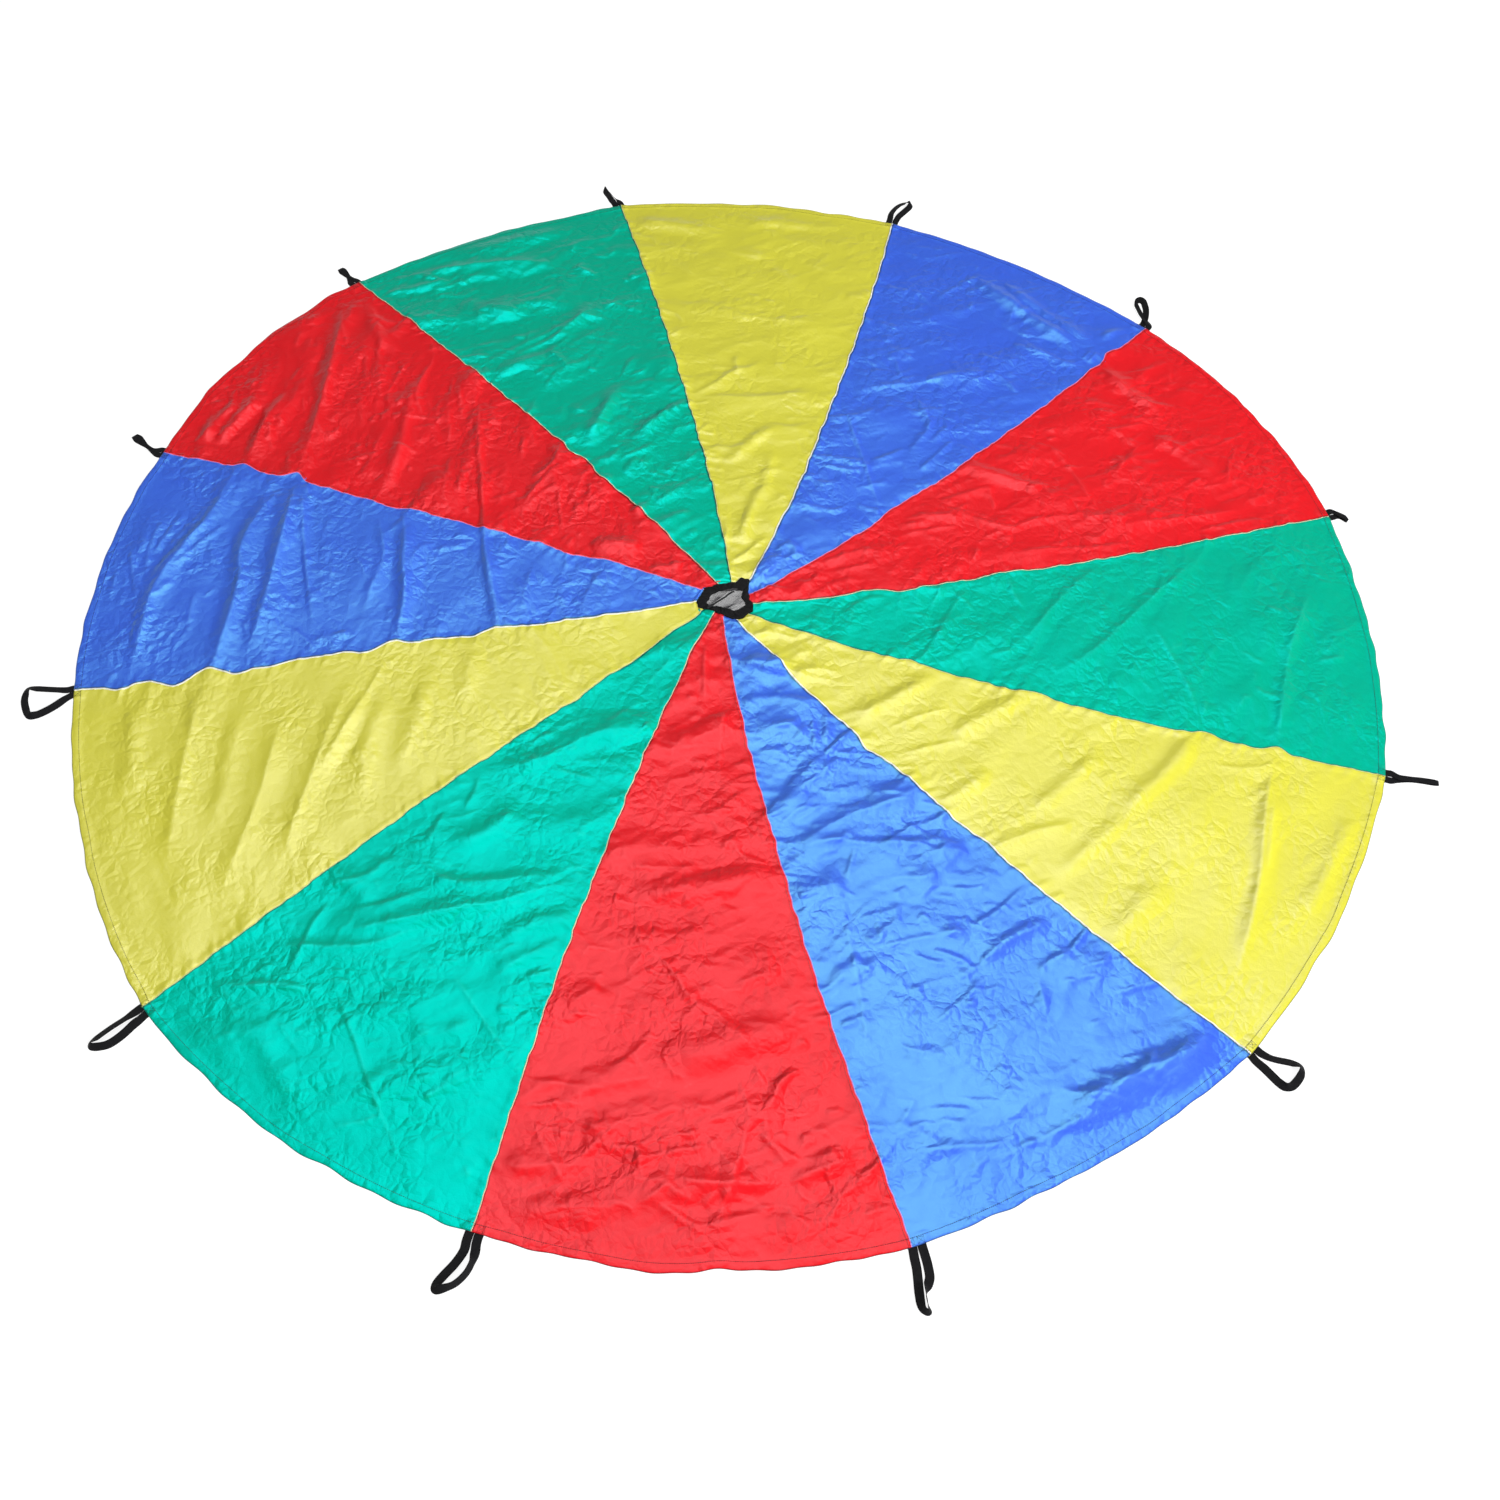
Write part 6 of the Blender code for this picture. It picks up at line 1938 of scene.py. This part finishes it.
@dataclass
class Handle:
    """One handle: a length of webbing bent into a loop, its two ends sewn side by side under the hem."""

    number: int
    plan: CanopyPlan
    width: float = 0.020
    thickness: float = 0.0015
    split: float = 0.0006
    reach: float = 0.135
    straight: float = 0.006
    turn: float = 0.034
    bend_radius: float = 0.014
    overhang: float = 0.004
    opening: float = 0.0055
    clearance: float = 0.0003
    sewn: float = 0.0245
    rows: int = 150
    end_rows: int = 10
    lanes: int = 10

    @property
    def lie(self) -> HandleLie:
        """How this handle lies."""
        return HANDLES[self.number]

    def route(self) -> Array:
        """The strap's middle line in the hinge's own axes, from one sewn end to the other."""
        foot = np.array([0.0, -(self.width + self.split) / 2, 0.0])
        far_foot = foot * (1, -1, 1)
        rise = self.thickness + self.opening
        knots = [foot - (self.straight, 0, 0), foot]
        for along, beside, *up in self.lie.route:
            knots.append(np.array([along * self.reach, beside * self.reach, sum(up) * rise]))
        knots += [far_foot, far_foot - (self.straight, 0, 0)]
        fine = []
        for before, start, end, after in zip(knots, knots[1:], knots[2:], knots[3:]):
            for t in np.arange(0, 1, 1 / 24):
                fine.append((2 * start + (end - before) * t
                             + (2 * before - 5 * start + 4 * end - after) * t**2
                             + (3 * start - before - 3 * end + after) * t**3) / 2)
        fine.append(knots[-2])
        return np.array(fine)

    def from_foot(self) -> Array:
        """How far each point of the loop is from the nearer foot, as a share of the loop's length."""
        index = np.arange(self.rows + 1)
        return np.minimum(index, self.rows - index) / self.rows

    def laid_over(self, loop: Array, ahead: Array) -> tuple[Array, Array, Array]:
        """How the strap lies on a loop that is laid over on its side.

        Args:
            loop: The points of its middle line.
            ahead: The line's directions there.

        Returns:
            The directions of the strap's width and of its face, and how far its middle is raised.
        """
        tip = loop[np.argmax(loop[:, 0])]
        neck = loop[np.argmin(np.abs(loop[:, 0] - tip[0] / 2))]
        swing = math.atan2(tip[1] - neck[1], tip[0] - neck[0])
        swing = swing * smooth((loop[:, 0] - self.straight) / self.turn)
        widths = np.column_stack([-np.sin(swing), np.cos(swing), np.zeros_like(swing)])
        narrow = np.interp(self.from_foot(), (0.05, 0.24, 0.42, 0.5), (1.0, *self.lie.waist))
        narrow = np.convolve(np.pad(narrow, 4, "edge"), np.ones(9) / 9, "valid")[:, None]
        return widths * narrow, np.cross(widths, ahead), np.full(len(loop), -self.thickness / 2)

    def on_edge(self, loop: Array, ahead: Array) -> tuple[Array, Array, Array]:
        """How the strap lies on a loop that leans, and stands on its edge where it bends most.

        Args:
            loop: The points of its middle line.
            ahead: The line's directions there.

        Returns:
            The directions of the strap's width and of its face, and how far its middle is raised.
        """
        length = travelled(loop)[-1]
        away = length * self.from_foot()
        flat = self.straight + self.lie.flat * self.reach
        outward = np.column_stack([ahead[:, 1], -ahead[:, 0], np.zeros(len(loop))])
        first, tip, second = np.radians(self.lie.lean)
        calm = mix(first, second, smooth((np.linspace(0, 1, len(loop)) - 0.4) / 0.2))
        turning = np.linalg.norm(np.gradient(ahead, axis=0), axis=1) / (length / self.rows)
        sharp = smooth((turning * self.bend_radius - 0.25) / 0.6) * (away > flat + self.turn)
        sharp = np.convolve(np.pad(sharp, 6, "edge"), np.ones(13) / 13, "valid")
        edge = mix(calm, np.maximum(tip, calm), sharp) * smooth((away - flat) / self.turn)
        facing = np.cos(edge)[:, None] * (0.0, 0.0, 1.0) + outward * np.sin(edge)[:, None]
        widths = np.cross(ahead, facing)
        rise = (np.abs(widths[:, 2]) * self.width + np.abs(facing[:, 2]) * self.thickness) / 2
        return widths, facing, rise - self.thickness + self.clearance * np.sin(edge)

    def build(self, material: Material) -> None:
        """Builds the strap in one piece, placed at its hinge."""
        loop = evenly(self.route(), self.rows + 1)
        ahead = np.gradient(loop, axis=0)
        ahead[0], ahead[-1] = (1, 0, 0), (-1, 0, 0)
        ahead = unit_rows(ahead)
        lies_over = len(self.lie.route[0]) == 3
        widths, facing, lift = self.laid_over(loop, ahead) if lies_over else self.on_edge(loop, ahead)
        loop = loop + lift[:, None] * (0.0, 0.0, 1.0)
        under = np.linspace(self.sewn, 0.0015, self.end_rows)[:, None] * (1.0, 0.0, 0.0)
        centres = np.concatenate([loop[0] - under, loop, (loop[-1] - under)[::-1]])
        widths, facing = (np.pad(rows, ((self.end_rows,) * 2, (0, 0)), "edge") for rows in (widths, facing))
        surface = self.strap(centres, widths, unit_rows(facing))
        place = self.hinge()
        surface.points = surface.points @ np.array(place.to_3x3()).T + np.array(place.translation)
        body = f"handle_{self.number + 1:02d}"
        obj = surface.to_object(f"{body}_strap", material)
        start, end = place @ Vector((-0.0025, 0, 0)), place @ Vector((0.012, 0, 0))
        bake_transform(obj)
        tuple(start)
        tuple(end)
        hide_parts(f"{body}_loop", f"{body}_end_left", f"{body}_end_right")

    def strap(self, centres: Array, widths: Array, facing: Array) -> Surface:
        """The webbing round a middle line, thinner at its two edges, with closed ends.

        Args:
            centres: The points of the middle line.
            widths: The direction of its width at each, shorter where it seems narrower.
            facing: The direction of its face at each.

        Returns:
            The closed surface.
        """
        across = np.linspace(-1, 1, self.lanes + 1)
        half = self.thickness / 2 * (1 - 0.45 * np.abs(across) ** 10)
        ring_y = np.concatenate([across, across[::-1]]) * self.width / 2
        ring_z = np.concatenate([-half, half[::-1]])
        count = len(ring_y)
        points = (centres[:, None, :] + widths[:, None, :] * ring_y[None, :, None]
                  + facing[:, None, :] * ring_z[None, :, None])
        along = travelled(centres)
        index = np.arange(len(centres) * count).reshape(len(centres), count)
        ahead, beside = np.roll(index, -1, axis=1)[:-1], index[:-1]
        up, up_ahead = index[1:], np.roll(index, -1, axis=1)[1:]
        faces = np.concatenate([np.stack([beside, ahead, up_ahead], -1).reshape(-1, 3),
                                np.stack([beside, up_ahead, up], -1).reshape(-1, 3)])
        caps = []
        for lane in range(self.lanes):
            low, high = lane, count - 1 - lane
            caps += [(low, high, high - 1), (low, high - 1, low + 1)]
        caps = np.array(caps)
        last = index[-1][0]
        faces = np.concatenate([faces, caps, caps[:, ::-1] + last])
        uv = np.stack([np.tile(ring_y, len(centres)), np.repeat(along, count)], axis=1)
        flat_points = points.reshape(-1, 3)
        corners = flat_points[faces]
        volume = np.einsum("ij,ij->i", corners[:, 0], np.cross(corners[:, 1], corners[:, 2])).sum()
        if volume < 0:
            faces = faces[:, ::-1]
        return Surface(flat_points, faces, uv)

    def hinge(self) -> Matrix:
        """The hinge's place: X out from the rim, Y anticlockwise along it, at the strap's top."""
        angle, radius = self.plan.seam_rim(self.number)
        turn = Matrix.Rotation(angle, 4, "Z")
        offset = Vector((radius + self.overhang, self.lie.shift * HANDLE_SHIFT, self.thickness))
        return Matrix.Translation(turn @ offset) @ turn


# The stage


@dataclass
class Stage:
    """The floor with its curved backdrop, the lights and the camera."""

    radius: float = 1.75
    floor: float = 14.0
    bend: float = 4.8
    wall: float = 14.0
    rings: int = 14
    sides: int = 96
    lens: float = 34.13
    sensor: float = 36.0

    def build(self) -> None:
        """Sets the whole stage."""
        self.lay_floor()
        self.light()
        self.point_camera()
        bpy.context.scene.view_settings.view_transform = "Standard"

    def lay_floor(self) -> None:
        """A plain sweep, flat and then curved up far out, that camera, gloss and glass see as white, and a
        wall above it that closes the view from low down and leaves the light on the cloth as it is."""
        around = unit(np.linspace(0, 2 * math.pi, self.sides, endpoint=False))
        points = [np.array([[0.0, 0.0, -0.001]])]
        for turn in np.linspace(0, math.pi / 2, self.rings):
            ring = around * (self.floor + self.bend * math.sin(turn))
            points.append(np.column_stack([ring, np.full(self.sides, self.bend * (1 - math.cos(turn)) - 0.001)]))
        index = np.arange(self.rings * self.sides).reshape(self.rings, self.sides)
        ahead = np.roll(index, -1, axis=1)
        faces = [(0, low + 1, high + 1) for low, high in zip(index[0].tolist(), ahead[0].tolist())]
        faces += (np.stack([index[:-1], index[1:], ahead[1:], ahead[:-1]], -1).reshape(-1, 4) + 1).tolist()
        paint = self.paint()
        self.place("floor", np.concatenate(points), faces, paint).data.shade_smooth()
        walls = np.stack([index[0], ahead[0], ahead[1], index[1]], -1).tolist()
        wall = self.place("backdrop_wall", np.concatenate([points[-1], points[-1] + (0.0, 0.0, self.wall)]),
                          walls, paint)
        wall.visible_diffuse = wall.visible_glossy = wall.visible_shadow = False

    @staticmethod
    def place(name: str, points: Array, faces: list, material: Material) -> Object:
        """Adds one object of the stage.

        Args:
            name: Its name.
            points: Its points.
            faces: Its faces, by the numbers of their points.
            material: Its material.

        Returns:
            The object.
        """
        mesh = bpy.data.meshes.new(name)
        mesh.from_pydata(points.tolist(), [], faces)
        mesh.materials.append(material)
        obj = link(bpy.data.objects.new(name, mesh))
        return obj

    @staticmethod
    def paint() -> Material:
        """The pale paint of the sweep."""
        material, graph = new_material("pale_floor")
        diffuse = graph.node("ShaderNodeBsdfDiffuse", {"Color": rgba((0.86, 0.86, 0.86))})
        glow = graph.node("ShaderNodeEmission", {"Color": rgba((1.0, 1.0, 1.0)), "Strength": 1.2})
        path = graph.node("ShaderNodeLightPath").outputs
        seen = graph.math("MAXIMUM", path["Is Glossy Ray"], path["Is Transmission Ray"])
        share = graph.math("MULTIPLY", graph.math("MAXIMUM", path["Is Camera Ray"], seen), 0.75)
        shown = graph.node("ShaderNodeMixShader", {0: share, 1: diffuse.outputs[0], 2: glow.outputs[0]})
        graph.node("ShaderNodeOutputMaterial", {"Surface": shown.outputs[0]})
        return material

    def light(self) -> None:
        """Plain soft studio light: a panel on the near right, a larger one overhead, which the cloth's gloss
        shows more of than its colour does, and an even sky."""
        world = bpy.data.worlds.new("studio")
        world.use_nodes = True
        bpy.context.scene.world = world
        graph = Graph(world.node_tree)
        sky = graph.node("ShaderNodeBackground", {"Color": (0.98, 0.99, 1.0, 1.0), "Strength": 0.11})
        graph.node("ShaderNodeOutputWorld", {"Surface": sky.outputs[0]})
        key = self.panel("key_panel", (8.4, -6.0, 6.5), (0.0, 0.0, 0.0), (3.8, 3.8), 2130.0)
        key.visible_glossy = False
        self.panel("top_panel", (0.0, 0.4, 4.8), (0.0, 0.4, 0.0), (5.6, 4.6), 106.0)
        gloss = self.panel("gloss_panel", (0.0, 0.3, 4.7), (0.0, 0.3, 0.0), (5.6, 4.4), 178.0)
        gloss.visible_diffuse = False

    @staticmethod
    def panel(name: str, place: Triple, aim: Triple, size: Pair, watts: float) -> Object:
        """One light panel.

        Args:
            name: Its name.
            place: Where it stands.
            aim: The point that it faces.
            size: Its width and height.
            watts: Its power.

        Returns:
            The panel.
        """
        lamp = bpy.data.lights.new(name, "AREA")
        lamp.shape = "RECTANGLE"
        lamp.size, lamp.size_y = size
        lamp.energy = watts
        panel = link(bpy.data.objects.new(name, lamp))
        panel.location = place
        panel.rotation_euler = (Vector(aim) - Vector(place)).to_track_quat("-Z", "Y").to_euler()
        return panel

    def point_camera(self) -> None:
        """The camera at the photograph's place."""
        lens = bpy.data.cameras.new("camera")
        lens.lens, lens.sensor_width = self.lens, self.sensor
        lens.clip_end = 200.0
        camera = link(bpy.data.objects.new("camera", lens))
        place = Vector((0.033, -1.412, 1.718)) * self.radius
        turn = (Matrix.Rotation(math.radians(-0.25), 4, "Z") @ Matrix.Rotation(math.radians(33.6), 4, "X")
                @ Matrix.Rotation(math.radians(2.98), 4, "Z"))
        camera.matrix_world = Matrix.Translation(place) @ turn
        bpy.context.scene.camera = camera


def main() -> None:
    """Builds the whole scene, piece by piece."""
    logging.basicConfig(level=logging.INFO, format="%(name)s: %(message)s")
    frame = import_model()
    LOG.info("frame: %d nodes", len(frame["nodes"]))
    Stage().build()
    wardrobe = Wardrobe()
    plan = CanopyPlan()
    relief = Relief(plan)
    relief.settle()
    wear = relief.wear()
    LOG.info("relief: up to %.1f mm", relief.height.max() * 1000)
    stitches = StitchRow()
    for number in range(plan.gores):
        gore = Gore(number, plan, relief, wear)
        gore.build(wardrobe.cloth[Colour.of_gore(number)])
        Seam(number, plan, relief, gore).build(wardrobe, stitches)
        HemStitching(gore, plan, relief).build(wardrobe, stitches)
        Handle(number, plan).build(wardrobe.webbing)
    Vent(plan, relief, gore).build(wardrobe, stitches)


if __name__ == "__main__":
    main()
